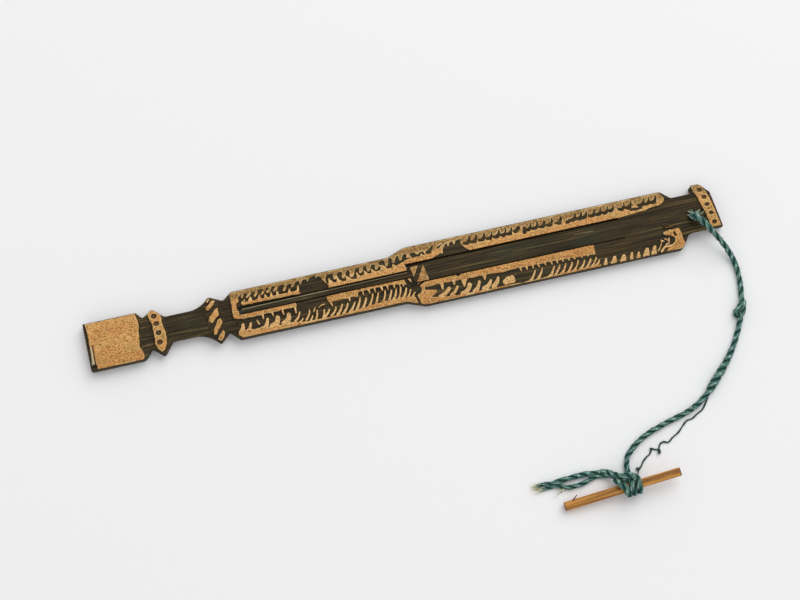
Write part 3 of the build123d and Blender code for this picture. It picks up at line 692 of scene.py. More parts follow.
def even(path, spacing):
    """The same path with its points at an even spacing."""
    along = lengths(path)
    places = np.linspace(0, along[-1], int(along[-1] / spacing) + 2)
    return np.stack([np.interp(places, along, path[:, axis]) for axis in range(3)], -1)


def through(stations, steps=12):
    """Smooth path through stations: a cubic between each two, with the slope of their neighbours."""
    stations = np.asarray(stations, float)
    slopes = np.gradient(stations, axis=0)
    t = np.linspace(0, 1, steps, endpoint=False)[None, :, None]
    here, after = stations[:-1, None], stations[1:, None]
    slope, next_slope = slopes[:-1, None], slopes[1:, None]
    curve = (
        (2 * t**3 - 3 * t**2 + 1) * here + (t**3 - 2 * t**2 + t) * slope
        + (3 * t**2 - 2 * t**3) * after + (t**3 - t**2) * next_slope
    )
    return np.concatenate((curve.reshape(-1, 3), stations[-1:]))


def path_frame(path):
    """Two unit vectors square to a path at each point, carried along it without turning about it."""
    way = unit(np.gradient(path, axis=0))
    side = np.eye(3)[np.argmin(np.abs(way[0]))]
    across = np.empty_like(way)
    for index, ahead in enumerate(way):
        side = unit(side - ahead * (side @ ahead))
        across[index] = side
    return across, np.cross(way, across)


def rope(path, radius, lay=LAY, yarns=YARNS, around=ROPE_AROUND):
    """Plies laid round a path. A ply's middle turns about the path once in each lay. Its skin is an ellipse
    that ripples once for each yarn, with the yarns turning the other way along the ply."""
    across, up = (vectors[None, :, None, :] for vectors in path_frame(path))
    ply = np.arange(PLIES)[:, None, None]
    corner = np.arange(around)[None, None, :] / around * 2 * math.pi
    along = lengths(path)[None, :, None]
    radius = np.broadcast_to(radius, len(path))[None, :, None]
    turn = 2 * math.pi * (ply / PLIES + along / lay + LAY_WANDER * wobble(along, 0.0, WANDER_RUN * lay))
    radius = radius * (1 + PLY_UNEVEN * wobble(along, PLY_APART * ply, lay))
    yarn_turn = corner * yarns + 2 * math.pi * yarns * along / lay * YARN_PACE + ply * YARN_SHIFT
    crest = np.cos(yarn_turn)
    skin = 1 + YARN_RIPPLE * (crest - 1)
    outward = radius * (1 - PLY_THICK + PLY_THICK * skin * np.cos(corner))
    sideways = radius * PLY_BROAD * skin * np.sin(corner)
    across_reach = outward * np.cos(turn) - sideways * np.sin(turn)
    up_reach = outward * np.sin(turn) + sideways * np.cos(turn)
    points = path[None, :, None, :] + across_reach[..., None] * across + up_reach[..., None] * up
    along_pace, ply_pace, yarn_pace = SHADE_PACES
    yarn = np.sin(along * along_pace + ply * ply_pace + np.floor(yarn_turn / (2 * math.pi)) * yarn_pace)
    inward = np.broadcast_to(0.5 - 0.5 * np.cos(corner), crest.shape)
    return points, tube_faces(PLIES, len(path), around), {"crest": crest, "inward": inward, "yarn": yarn}


def hairs(starts, ways, spans, radius, floor, bleach=1.0, taper=0.8, sides=4, rings=7):
    """Tapering hairs. The middle of each runs from its start along its way for its span and bows to one side
    by a random share of it, no lower than the floor. Its round section narrows to the bleached tip."""
    count = len(starts)
    ways = unit(ways)
    side = unit(np.cross(ways, random.normal(size=(count, 3))))
    t = np.linspace(0, 1, rings)[None, :, None]
    sway = random.uniform(-HAIR_BOW, HAIR_BOW, count)[:, None, None] * side[:, None]
    middle = starts[:, None] + spans[:, None, None] * (ways[:, None] * t + sway * t**2)
    middle[..., 2] = np.maximum(middle[..., 2], floor + radius)
    corner = (np.arange(sides) / sides * 2 * math.pi)[:, None]
    section = np.cos(corner) * side[:, None, :] + np.sin(corner) * np.cross(ways, side)[:, None, :]
    points = middle[:, :, None] + (radius * (1 - taper * t))[..., None] * section[:, None]
    shape = points.shape[:3]
    shade = np.broadcast_to(random.uniform(0, 1, count)[:, None, None], shape)
    values = {"tip": np.broadcast_to(bleach * t, shape), "shade": shade}
    return points, tube_faces(count, rings, sides), values


# Materials


def paint(red, green, blue):
    """Colour as it shows, from 0 to 255, as the linear colour that a socket takes."""
    shown = np.array((red, green, blue)) / 255
    linear = np.where(shown <= 0.04045, shown / 12.92, ((shown + 0.055) / 1.055) ** 2.4)
    return (*linear.tolist(), 1.0)


RIND_TAN = paint(214, 160, 92)
RIND_ORANGE = paint(204, 142, 78)
RIND_OLIVE = paint(176, 140, 74)
RIND_FLECK = paint(112, 72, 32)
RIND_PALE = paint(242, 202, 140)
RIND_DARKENED = paint(130, 104, 56)
GROUND_DARK = paint(38, 31, 17)
GROUND_BROWN = paint(70, 57, 33)
GROUND_FIBRE = paint(124, 104, 62)
GROUND_GREEN = paint(52, 54, 36)
SLIVER = paint(214, 196, 160)
BARE_TAN = paint(160, 122, 76)
BARE_BROWN = paint(104, 76, 46)
CORD_GROOVE_SHADE = paint(24, 58, 52)
CORD_MID = paint(74, 117, 106)
CORD_PALE = paint(160, 190, 177)
CORD_BLUE = paint(56, 104, 104)
FIBRE_ROOT = paint(108, 144, 136)
FIBRE_TIP = paint(232, 226, 190)
STICK_ORANGE = paint(200, 136, 64)
STICK_PALE = paint(216, 158, 82)
STICK_STREAK = paint(132, 84, 38)
STICK_FACET = paint(124, 82, 40)
STICK_END = paint(58, 38, 20)
YARN_DARK = paint(24, 52, 50)
YARN_PALE = paint(66, 98, 90)
FLOOR_PALE = paint(246, 246, 247)

# Colours laid over one another: each with the value that it follows, where that starts to count and where it
# counts in full, and the share that it then has
RIND_LAYERS = ((RIND_ORANGE, "Cloud", 0.38, 0.62, 1.0), (RIND_OLIVE, "Patch", 0.48, 0.66, 0.6))
SPECK_LAYERS = ((RIND_PALE, "Fleck", 0.47, 0.34, 0.7), (RIND_FLECK, "Fleck", 0.50, 0.63, 0.9))
GROUND_LAYERS = (
    (GROUND_BROWN, "Streak", 0.36, 0.66, 1.0), (GROUND_GREEN, "Cloud", 0.50, 0.70, 0.55),
    (GROUND_FIBRE, "Hair", 0.58, 0.74, 0.6), (GROUND_FIBRE, "Streak", 0.57, 0.70, 0.7),
)
BARE_LAYERS = ((BARE_BROWN, "Streak", 0.36, 0.66, 1.0),)
CORD_LAYERS = ((CORD_BLUE, "patch", 0.42, 0.66, 1.0),)
# pale fibre flecks, then painted shade between the yarns and in the grooves between the plies
CORD_TOP_LAYERS = (
    (CORD_PALE, "fibre", 0.52, 0.70, 0.5), (CORD_GROOVE_SHADE, "crest", 0.1, -0.9, 0.75),
    (CORD_GROOVE_SHADE, "inward", 0.34, 0.66, 0.8),
)
STICK_LAYERS = (
    (STICK_ORANGE, "Streak", 0.36, 0.62, 1.0), (STICK_STREAK, "Streak", 0.48, 0.62, 0.75),
    (STICK_STREAK, "Hair", 0.50, 0.66, 0.85),
)
# paler flecks, then painted shade in the grooves between the plies
YARN_LAYERS = ((YARN_PALE, "fibre", 0.42, 0.68, 0.8), (YARN_DARK, "inward", 0.1, 0.45, 0.7))

# Where a value starts to count and where it counts in full, then its full and its least share
RIND_EDGE = (-0.04, 0.05)
# painted highlight along the rind's cut edges, and the patches that it keeps to
HIGHLIGHT_EDGE = (0.4, 0.08, 0.7)
HIGHLIGHT_PATCH = (0.44, 0.64)
HIGHLIGHT_PLY = (0.2, 0.0)
HIGHLIGHT_YARN = (-0.4, 0.6)
BLEACHED = (0.1, 1.1)
WEATHERED = (0.25, 0.55, 0.95, 0.45)

# How much single values count
RAGGED = 0.16               # how far the grain makes the rind's edge ragged
TOOTH_PALE = 0.6
DARKENED_SHARE = 0.85
BLEACH_SHADE = 0.5

# Roughness, shine and depth of the bump
RIND_ROUGH = 0.55
GROUND_ROUGH = 0.7
CORD_ROUGH = 0.85
FIBRE_ROUGH = 0.8
STICK_ROUGH = 0.55
YARN_ROUGH = 0.9
FLOOR_ROUGH = 0.8
BAMBOO_SHINE = 0.2
CORD_SHINE = 0.2
STICK_SHINE = 0.25
BUMP_STRENGTH = 0.6
GRAIN_DEPTH = 0.12
CORD_DEPTH = 0.1
YARN_DEPTH = 0.05
COARSE_HEIGHT = 0.5         # height of the coarse grain to that of the fine

# Waves to the metre and octaves of the noise on cord and yarn
CORD_FIBRE = (3200.0, 3.0)
CORD_PATCH = (240.0, 2.0)
YARN_FIBRE = (900.0, 3.0)

# Grain of split bamboo: name, waves to the metre along it and across it, octaves
GRAIN = (
    ("Streak", 45.0, 1500.0, 4.0), ("Hair", 90.0, 5200.0, 3.0), ("Fleck", 1700.0, 3500.0, 4.0),
    ("Patch", 240.0, 460.0, 2.0), ("Cloud", 55.0, 130.0, 3.0),
)
GRAIN_ROUGHNESS = 0.6


def link(tree, made, inputs):
    """Links or sets the inputs of a node."""
    for socket, value in inputs.items():
        if isinstance(value, bpy.types.NodeSocket):
            tree.links.new(value, made.inputs[socket])
        else:
            made.inputs[socket].default_value = value


def node(tree, kind, inputs=None, **settings):
    """Adds a node with its settings and inputs."""
    made = tree.nodes.new(kind)
    for name, value in settings.items():
        setattr(made, name, value)
    link(tree, made, inputs or {})
    return made


def maths(tree, operation, *values):
    """Sum worked out by one node."""
    return node(tree, "ShaderNodeMath", dict(enumerate(values)), operation=operation).outputs[0]


def ramp(tree, value, low, high, top=1.0, bottom=0.0):
    """Value that goes smoothly from bottom at low to top at high."""
    inputs = {"Value": value, "From Min": low, "From Max": high, "To Min": bottom, "To Max": top}
    return node(tree, "ShaderNodeMapRange", inputs, interpolation_type="SMOOTHSTEP").outputs["Result"]


def mix(tree, share, first, second):
    """Colour between two others."""
    return node(tree, "ShaderNodeMix", {0: share, 6: first, 7: second}, data_type="RGBA").outputs[2]


def laid_over(tree, colour, layers, values):
    """Colour with the layers laid over it in turn."""
    for layer, name, low, high, share in layers:
        colour = mix(tree, ramp(tree, values[name], low, high, share), colour, layer)
    return colour


def value_at(tree, name):
    """Named value at the points of a mesh."""
    return node(tree, "ShaderNodeAttribute", attribute_name=name).outputs["Fac"]


def own_place(tree):
    """Place in the piece's own coordinates."""
    return node(tree, "ShaderNodeTexCoord").outputs["Object"]


def noise(tree, place, scale, octaves, roughness=0.5):
    """Noise with so many waves to the metre."""
    inputs = {"Vector": place, "Scale": scale, "Detail": octaves, "Roughness": roughness}
    return node(tree, "ShaderNodeTexNoise", inputs).outputs["Fac"]


def bump(tree, height, distance):
    """Normal of a surface roughened by a height, whose full range is a distance in millimetres."""
    inputs = {"Height": height, "Distance": distance * MM, "Strength": BUMP_STRENGTH}
    return node(tree, "ShaderNodeBump", inputs).outputs["Normal"]


def new_material(name):
    """New material, its tree and its shader."""
    material = bpy.data.materials.new(name)
    material.use_nodes = True
    return material, material.node_tree, material.node_tree.nodes["Principled BSDF"]


def make_grain_group():
    """Group of noises drawn out along the first axis: streaks, hair lines, flecks, patches and clouds."""
    group = bpy.data.node_groups.new("bamboo_grain", "ShaderNodeTree")
    group.interface.new_socket("Vector", in_out="INPUT", socket_type="NodeSocketVector")
    for name, *_ in GRAIN:
        group.interface.new_socket(name, in_out="OUTPUT", socket_type="NodeSocketFloat")
    entry = group.nodes.new("NodeGroupInput")
    leave = group.nodes.new("NodeGroupOutput")
    for name, along, sideways, octaves in GRAIN:
        scales = {0: entry.outputs["Vector"], 1: (along, sideways, sideways)}
        drawn = node(group, "ShaderNodeVectorMath", scales, operation="MULTIPLY").outputs[0]
        link(group, leave, {name: noise(group, drawn, 1.0, octaves, GRAIN_ROUGHNESS)})
    return group


grain_group = make_grain_group()


def grain_of(tree, turn=(0.0, 0.0, 0.0)):
    """Grain of a piece by its own coordinates, turned so that the first axis runs along the piece."""
    turned = node(tree, "ShaderNodeMapping", {"Vector": own_place(tree), "Rotation": turn}).outputs["Vector"]
    return node(tree, "ShaderNodeGroup", {"Vector": turned}, node_tree=grain_group).outputs


def grain_height(tree, grain, coarse):
    """Height of split bamboo: its streaks and hair lines, and a coarser grain."""
    fine = maths(tree, "ADD", grain["Streak"], grain["Hair"])
    return maths(tree, "MULTIPLY_ADD", coarse, COARSE_HEIGHT, fine)


def make_bamboo_material():
    """Carved bamboo: speckled tan rind where it is left, dark streaked ground where it is cut away."""
    material, tree, shader = new_material("carved_bamboo")
    grain = grain_of(tree)
    stray = maths(tree, "MULTIPLY_ADD", grain["Hair"], RAGGED, -RAGGED / 2)
    ragged = maths(tree, "ADD", value_at(tree, "rind"), stray)
    on_rind = ramp(tree, ragged, *RIND_EDGE)
    skin = laid_over(tree, RIND_TAN, RIND_LAYERS, grain)
    skin = mix(tree, maths(tree, "MULTIPLY", value_at(tree, "tooth"), TOOTH_PALE), skin, RIND_PALE)
    skin = mix(tree, maths(tree, "MULTIPLY", value_at(tree, "darkened"), DARKENED_SHARE), skin, RIND_DARKENED)
    skin = laid_over(tree, skin, SPECK_LAYERS, grain)
    # painted highlight: the rind paler along its cut edges, in patches
    edge_highlight = maths(tree, "MULTIPLY", ramp(tree, ragged, *HIGHLIGHT_EDGE), ramp(tree, grain["Patch"], *HIGHLIGHT_PATCH))
    skin = mix(tree, edge_highlight, skin, RIND_PALE)
    colour = mix(tree, on_rind, laid_over(tree, GROUND_DARK, GROUND_LAYERS, grain), skin)
    # pale sliver and scratch, and the painted highlight on the reed's upper edge
    colour = mix(tree, value_at(tree, "pale"), colour, SLIVER)
    colour = mix(tree, value_at(tree, "bare"), colour, laid_over(tree, BARE_TAN, BARE_LAYERS, grain))
    link(tree, shader, {
        "Base Color": colour, "Roughness": ramp(tree, on_rind, 0.0, 1.0, RIND_ROUGH, GROUND_ROUGH),
        "Specular IOR Level": BAMBOO_SHINE,
        "Normal": bump(tree, grain_height(tree, grain, grain["Fleck"]), GRAIN_DEPTH)})
    return material


def make_cord_material():
    """Laid cord: painted shade, dark teal, in the grooves between plies and yarns, and a painted highlight in
    pale dashes along the crown of each ply.
    """
    material, tree, shader = new_material("laid_cord")
    values = {name: value_at(tree, name) for name in ("inward", "crest", "yarn")}
    values["fibre"] = noise(tree, own_place(tree), *CORD_FIBRE)
    values["patch"] = noise(tree, own_place(tree), *CORD_PATCH)
    colour = laid_over(tree, CORD_MID, CORD_LAYERS, values)
    # painted highlight in pale dashes along the crown of each ply
    on_ply = ramp(tree, values["inward"], *HIGHLIGHT_PLY)
    crown_highlight = maths(tree, "MULTIPLY", on_ply, ramp(tree, values["yarn"], *HIGHLIGHT_YARN))
    colour = laid_over(tree, mix(tree, crown_highlight, colour, CORD_PALE), CORD_TOP_LAYERS, values)
    link(tree, shader, {
        "Base Color": colour, "Roughness": CORD_ROUGH, "Specular IOR Level": CORD_SHINE,
        "Normal": bump(tree, values["fibre"], CORD_DEPTH)})
    return material


def make_fibre_material():
    """Frayed fibres: the cord's green at the root, bleached to straw at the tip."""
    material, tree, shader = new_material("frayed_fibre")
    shade = value_at(tree, "shade")
    bleached = maths(tree, "MULTIPLY_ADD", shade, BLEACH_SHADE, value_at(tree, "tip"))
    green = mix(tree, shade, CORD_MID, FIBRE_ROOT)
    colour = mix(tree, ramp(tree, bleached, *BLEACHED), green, FIBRE_TIP)
    link(tree, shader, {"Base Color": colour, "Roughness": FIBRE_ROUGH})
    return material


def make_stick_material(turn):
    """Split stick: orange with brown streaks, one weathered facet and dark cut ends."""
    material, tree, shader = new_material("split_stick")
    grain = grain_of(tree, turn)
    colour = laid_over(tree, STICK_PALE, STICK_LAYERS, grain)
    weathered = maths(tree, "MULTIPLY", value_at(tree, "facet"), ramp(tree, grain["Fleck"], *WEATHERED))
    colour = mix(tree, weathered, colour, STICK_FACET)
    colour = mix(tree, value_at(tree, "cut"), colour, STICK_END)
    link(tree, shader, {
        "Base Color": colour, "Roughness": STICK_ROUGH, "Specular IOR Level": STICK_SHINE,
        "Normal": bump(tree, grain_height(tree, grain, grain["Cloud"]), GRAIN_DEPTH)})
    return material


def make_yarn_material():
    """Loose yarn: dark green with paler flecks, and painted shade in the grooves between its plies."""
    material, tree, shader = new_material("dark_yarn")
    values = {"fibre": noise(tree, own_place(tree), *YARN_FIBRE), "inward": value_at(tree, "inward")}
    link(tree, shader, {
        "Base Color": laid_over(tree, YARN_DARK, YARN_LAYERS, values), "Roughness": YARN_ROUGH,
        "Normal": bump(tree, values["fibre"], YARN_DEPTH)})
    return material


def make_floor_material():
    """Plain pale floor."""
    material, tree, shader = new_material("pale_floor")
    link(tree, shader, {"Base Color": FLOOR_PALE, "Roughness": FLOOR_ROUGH})
    return material


# Toggle's own frame: X along the stick to its thin end, Y to the cord's side, Z up from the stick
hitch_z = TURN_RADIUS + cord_z
stick_behind = STICK_LENGTH - STICK_AHEAD
stick_lean = math.asin((hitch_z - STICK_THICKNESS / 2 - FLOOR_GAP) / stick_behind)
stick_axis = np.array((
    math.cos(STICK_HEADING) * math.cos(stick_lean),
    math.sin(STICK_HEADING) * math.cos(stick_lean),
    math.sin(stick_lean),
))
across_stick = np.array((-math.sin(STICK_HEADING), math.cos(STICK_HEADING), 0.0))
above_stick = np.cross(stick_axis, across_stick)
hitch = np.array((HITCH_X, HITCH_Y, hitch_z))

bamboo_material = make_bamboo_material()
cord_material = make_cord_material()
fibre_material = make_fibre_material()
stick_material = make_stick_material((0.0, stick_lean, -STICK_HEADING))
yarn_material = make_yarn_material()


def on_stick(along, across, up):
    """Points in the toggle's frame, as points of the whole part."""
    along, across, up = (np.asarray(value, float)[..., None] for value in (along, across, up))
    return hitch + along * stick_axis + across * across_stick + up * above_stick


def round_stick(angle, radius, along):
    """Points at an angle in degrees round the stick, from the cord's side upwards."""
    turn = np.radians(angle)
    return on_stick(along, radius * np.cos(turn), radius * np.sin(turn))


def lying(plan, z):
    """Route along a plan of X, Y and lift, where the middle line of what lies on the floor is at z."""
    return np.array(plan) + (0, 0, z)


pivot = on_stick(0, PIVOT_REACH, -TURN_RADIUS)
tail_start = on_stick(*TAIL_PLACE) * (1, 1, 0) + (0, 0, cord_z)
tail_way = np.array((math.cos(TAIL_HEADING), math.sin(TAIL_HEADING), 0.0))
cord_end = on_stick(0, PIVOT_REACH - CORD_INTO_HITCH, -TURN_RADIUS) + (0.0, 0.0, CORD_CLIMB)
cord_plan = lying(CORD_PLAN, cord_z)
cord_rise = np.array(CORD_RISE) + (HOLE_X, HOLE_Y, GROUND)
cord_route = np.concatenate((cord_rise, CORD_FALL, cord_plan, [cord_end]))
upper_route = np.concatenate(([tail_start + tail_way * TAIL_GAP], lying(UPPER_PLAN, cord_z)))
lower_route = lying(LOWER_PLAN, ply_z)
thread_route = np.concatenate(([(*THREAD_START, cord_z)], lying(THREAD_PLAN, thread_z)))


def make_pull_cord():
    """Pull cord, two plies along its route, swollen at the hole and above the place where the loose thread
    comes out of it. Its end runs into the hitch."""
    path = spline_points(cord_route, PATH_STEP)
    along = lengths(path)
    swell = np.interp(along, *np.array(CORD_SWELL).T)
    radius = cord_radius * (1 + swell + CORD_UNEVEN * wobble(along, 0.0, CORD_UNEVEN_RUN))
    path[:, 2] += np.maximum(radius - cord_radius, 0)
    piece = put_mesh("pull_cord_rope", rope(path, radius), cord_material, None)
    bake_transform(piece)
    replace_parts(piece, "pull_cord")
    return piece, path


def make_cord_knot():
    """Lump tied in the cord: a bight that stands out on the grip's side, then a turn over and through it."""
    before, middle, after = cord_plan[KNOT_STATION - 1:KNOT_STATION + 2] * (1, 1, 0)
    ahead = unit(after - before)
    along, out, height = np.array(KNOT_BIGHT).T[..., None]
    bight = middle + along * ahead + out * np.cross(ahead, (0, 0, 1)) + height * (0, 0, 1)
    parts = rope(even(through(bight), KNOT_STEP), KNOT_RADIUS)
    piece = put_mesh("cord_knot_turns", parts, cord_material, "harp")
    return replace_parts(piece, "cord_knot")


def make_stopper_knot():
    """Stopper knot: the cord's end in a flat coil under the tail neck that narrows and climbs evenly, then up
    through the hole."""
    share = np.arange(0, 1, STOPPER_STEP)
    angle = STOPPER_START + 2 * math.pi * STOPPER_TURNS * share
    radius, height = (np.interp(share, (0, 1), ends) for ends in (STOPPER_RADII, STOPPER_HEIGHTS))
    turns = np.stack((HOLE_X + radius * np.cos(angle), HOLE_Y + radius * np.sin(angle), height), -1)
    stations = np.concatenate((turns, [(HOLE_X, HOLE_Y, z) for z in STOPPER_RISE]))
    parts = rope(even(through(stations), KNOT_STEP), STOPPER_RADIUS)
    piece = put_mesh("stopper_knot_coil", parts, cord_material, "harp")
    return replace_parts(piece, "stopper_knot")


def make_toggle_knot():
    """Hitch of the cord round the stick: from the pivot, three turns, a collar over them, out to the tail."""
    turns = np.array(HITCH_TURNS)
    last = len(turns) - 1
    places = np.linspace(0, last, HITCH_FINE * last + 1)
    angle, out, along = (np.interp(places, np.arange(last + 1), column) for column in turns.T)
    path = np.concatenate((
        [pivot, on_stick(0, PIVOT_REACH - CORD_DIAMETER, -TURN_RADIUS)],
        round_stick(angle, TURN_RADIUS + out, along),
        [tail_start - tail_way * CORD_DIAMETER, tail_start],
    ))
    path = even(through(path, HITCH_STEPS), PATH_STEP)
    path[:, 2] = np.maximum(path[:, 2], HITCH_FLOOR)
    piece = put_mesh("toggle_knot_rope", rope(path, HITCH_RADIUS), cord_material, "toggle")
    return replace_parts(piece, "toggle_knot")


def make_tails():
    """The cord's two loose tails, each thinner towards its end."""
    pieces, paths = [], []
    for node_name, route, diameter in (
        ("cord_tail_upper", upper_route, CORD_DIAMETER), ("cord_tail_lower", lower_route, PLY_DIAMETER)
    ):
        path = spline_points(route, PATH_STEP)
        along = lengths(path)
        radius = diameter / 2 * (1 - TAIL_THINNER * smooth(along[-1] - TAIL_THIN_RUN, along[-1], along))
        path[:, 2] += radius - diameter / 2
        piece = put_mesh(node_name + "_ply", rope(path, radius, TAIL_LAY), cord_material, "toggle")
        pieces.append(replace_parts(piece, node_name))
        paths.append(path)
    return pieces, paths


def make_tail_fibres(paths):
    """Hairs that spread from the frayed ends of the two tails, and from where a ply parts from the lower."""
    places = [(path[-1], unit(path[-1] - path[-TAIL_END_RINGS]), TAIL_HAIRS) for path in paths]
    places.append((np.array(FRAY_PLACE), unit(np.array(FRAY_WAY)), FRAY_HAIRS))
    parts = []
    for place, way, count in places:
        back = way * random.uniform(0, TAIL_HAIR_BACK, (count, 1))
        starts = place - back + random.normal(0, TAIL_HAIR_SPREAD, (count, 3))
        ways = way + random.normal(0, 1, (count, 3)) * TAIL_HAIR_FAN
        spans = random.uniform(*TAIL_HAIR_LENGTHS, count)
        parts.append(hairs(starts, ways, spans, TAIL_HAIR_RADIUS, FLOOR_GAP))
    return put_mesh("tail_fibres", joined(parts), fibre_material, "toggle")


def make_mouth_fibres():
    """Coarse strands that fan out over the neck from the hole's mouth."""
    ends = np.array(MOUTH_ENDS) + (0, 0, GROUND)
    starts = np.array(MOUTH_MIDDLE) + random.normal(0, MOUTH_SPREAD, ends.shape) * MOUTH_FLAT
    reach = ends - starts
    parts = hairs(starts, reach, np.linalg.norm(reach, axis=1), MOUTH_HAIR_RADIUS, GROUND + MOUTH_GAP,
                  bleach=0.12, taper=0.45, sides=6, rings=9)
    return put_mesh("mouth_fibres", parts, fibre_material, "harp")


def make_fuzz(path):
    """Short hairs that stand off the pull cord."""
    index = random.integers(FUZZ_FROM, len(path) - FUZZ_END, FUZZ)
    across, up = path_frame(path)
    angle = random.uniform(0, 2 * math.pi, (FUZZ, 1))
    outward = np.cos(angle) * across[index] + np.sin(angle) * up[index]
    way = unit(np.gradient(path, axis=0))[index]
    starts = path[index] + outward * FUZZ_ROOT * cord_radius
    ways = outward + way * random.uniform(-FUZZ_LEAN, FUZZ_LEAN, (FUZZ, 1))
    spans = random.uniform(*FUZZ_LENGTHS, FUZZ)
    parts = hairs(starts, ways, spans, FUZZ_RADIUS, FLOOR_GAP, bleach=0.4, sides=3, rings=5)
    return put_mesh("cord_fuzz", parts, fibre_material, "harp")


def make_stick():
    """Split stick: a six-sided section with worn corners carried along its axis, thinner towards the far end
    and drawn in at its cut ends. The section is straight between corners, then evened by a running mean."""
    corner_angle, corner_reach = np.array(STICK_CORNERS + STICK_CORNERS[:1]).T
    corner_angle = np.radians(np.unwrap(corner_angle, period=360))
    sides = len(STICK_CORNERS)
    share = np.arange(STICK_AROUND) / STICK_AROUND
    corners = [corner_reach * part(corner_angle) for part in (np.cos, np.sin)]
    section = [np.interp(share * sides, np.arange(sides + 1), part) for part in corners]
    section = [(np.roll(part, 1) + 2 * part + np.roll(part, -1)) / 4 for part in section]
    low, high = -stick_behind, STICK_AHEAD
    inset, drawn = np.array(STICK_END_RINGS).T
    body = np.linspace(low + STICK_END_RUN, high - STICK_END_RUN, STICK_RINGS)
    along = np.concatenate((low + inset, body, high - inset[::-1]))[:, None]
    drawn_in = np.concatenate((drawn, np.ones(STICK_RINGS), drawn[::-1]))[:, None]
    on_side = drawn_in > STICK_SIDE
    half = np.interp(along, (low, high), (STICK_THICKNESS / 2, STICK_THIN / 2)) * drawn_in
    along_pace, round_pace = STICK_WORN_PACES
    hollow = wobble(along / along_pace, round_pace * 2 * math.pi * share[None, :], STICK_WORN_RUN)
    reach = half * (1 - STICK_WORN * (1 + hollow) * on_side)
    points = on_stick(np.broadcast_to(along, reach.shape), reach * section[0], reach * section[1])
    off_facet = np.abs(np.degrees(np.arctan2(section[1], section[0])) - FACET_ANGLE)[None, :]
    facet = smooth(*FACET_ENDS, off_facet) * smooth(low, high, along + FACET_FULL) * on_side
    stain = np.interp(along, (low, low + CUT_RUN, high - CUT_RUN, high), (CUT_STAIN, 0, 0, CUT_STAIN))
    stain[[0, -1]] = END_STAIN
    values = {"facet": facet, "cut": np.broadcast_to(stain, reach.shape)}
    parts = points, tube_faces(1, len(along), STICK_AROUND), values
    stick = put_mesh("split_stick", parts, stick_material, "toggle", STICK_CREASE)
    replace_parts(stick, "toggle_stick")
    root, tip = (on_stick(*place)[None] for place in SPLINTER)
    points, faces, values = hairs(root, tip - root, np.array([SPLINTER_LENGTH]), SPLINTER_RADIUS, FLOOR_GAP,
                                  taper=0.5, sides=5)
    shape = values["tip"].shape
    parts = points, faces, {"facet": np.ones(shape), "cut": np.full(shape, SPLINTER_STAIN)}
    return stick, put_mesh("stick_splinter", parts, stick_material, "toggle")


def make_thread():
    """Loose thread along its route, and the small curls that stand off it."""
    path = spline_points(thread_route, THREAD_STEP)
    radius = THREAD_DIAMETER / 2 * (1 + THREAD_UNEVEN * wobble(lengths(path), 0.0, THREAD_UNEVEN_RUN))
    path[:, 2] += np.maximum(radius - THREAD_DIAMETER / 2, 0)
    yarn = rope(path, radius, THREAD_LAY, THREAD_YARNS, THREAD_AROUND)
    curl_paths = [even(through(curl), CURL_STEP) for curl in CURLS]
    loops = [rope(curl, CURL_RADIUS, CURL_LAY, THREAD_YARNS, THREAD_AROUND) for curl in curl_paths]
    pieces = []
    for name, parts in (("loose_yarn", yarn), ("yarn_curls", joined(loops))):
        piece = put_mesh(name, parts, yarn_material, None)
        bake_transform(piece)
        pieces.append(piece)
    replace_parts(pieces[0], "loose_thread")
    return pieces[0], path, pieces[1]


pull_cord, pull_path = make_pull_cord()
tails, tail_paths = make_tails()
on_cord = [make_cord_knot(), make_stopper_knot(), make_toggle_knot(), *tails, make_tail_fibres(tail_paths)]
on_cord += [make_mouth_fibres(), make_fuzz(pull_path), *make_stick()]
loose_thread, thread_path, curls = make_thread()


# Bamboo strip


def plate_inner(y):
    """X of the end plate's inner edge at a place across the strip."""
    return at["plate"] - (y - AXIS) * math.tan(PLATE_LEAN)


def plate_outer(y):
    """X of the end plate's outer edge at a place across the strip."""
    return at["end"] - (y - AXIS) * math.tan(END_LEAN)


def strip_edge(side):
    """Long edge of the strip at each station, side +1 above and -1 below, as rows of X and Y."""
    bead = -side * BEAD_SKEW / 2
    step = -side * STEP_SKEW / 2
    notch = NECK_OFFSET + side * NOTCH_WIDTH / 2
    throat = NECK_OFFSET + side * THROAT_WIDTH / 2
    tail = AXIS + side * TAIL_NECK_WIDTH / 2
    edge = [
        (at["grip"], side * GRIP_WIDTH / 2),
        (at["grip_end"], side * GRIP_WIDTH / 2),
        (at["grip_notch"] + bead, notch),
        (at["pitted"] + bead, side * BEAD_WIDTH / 2),
        (at["throat"] + bead, throat),
        (at["flare"], throat),
        (at["striped"] + bead, side * BEAD_WIDTH / 2),
        (at["body_notch"], notch),
        (at["body"], side * NARROW_WIDTH / 2),
        (at["step"] + step, side * NARROW_WIDTH / 2),
        (at["wide"] + step, side * WIDE_WIDTH / 2),
        (at["wide_end"] + step, side * WIDE_WIDTH / 2),
        (at["tail"] + step, tail),
        (plate_inner(tail), tail),
    ]
    if side > 0:
        corner = PLATE_REACH - PLATE_CORNER
        edge.append((plate_inner(PLATE_REACH), PLATE_REACH))
        edge.append((plate_inner(PLATE_REACH) + PLATE_CROWN, PLATE_REACH))
        edge.append((plate_outer(corner), corner))
    else:
        edge.append((plate_inner(tail) + PLATE_FLANK, tail))
        edge.append((plate_inner(tail) + PLATE_CROWN, tail))
        edge.append((plate_outer(tail), tail))
    return np.array(edge)


stations = np.array(list(at.values())[:-1] + [
    at["plate"] + PLATE_FLANK, at["plate"] + PLATE_CROWN, at["end"]])


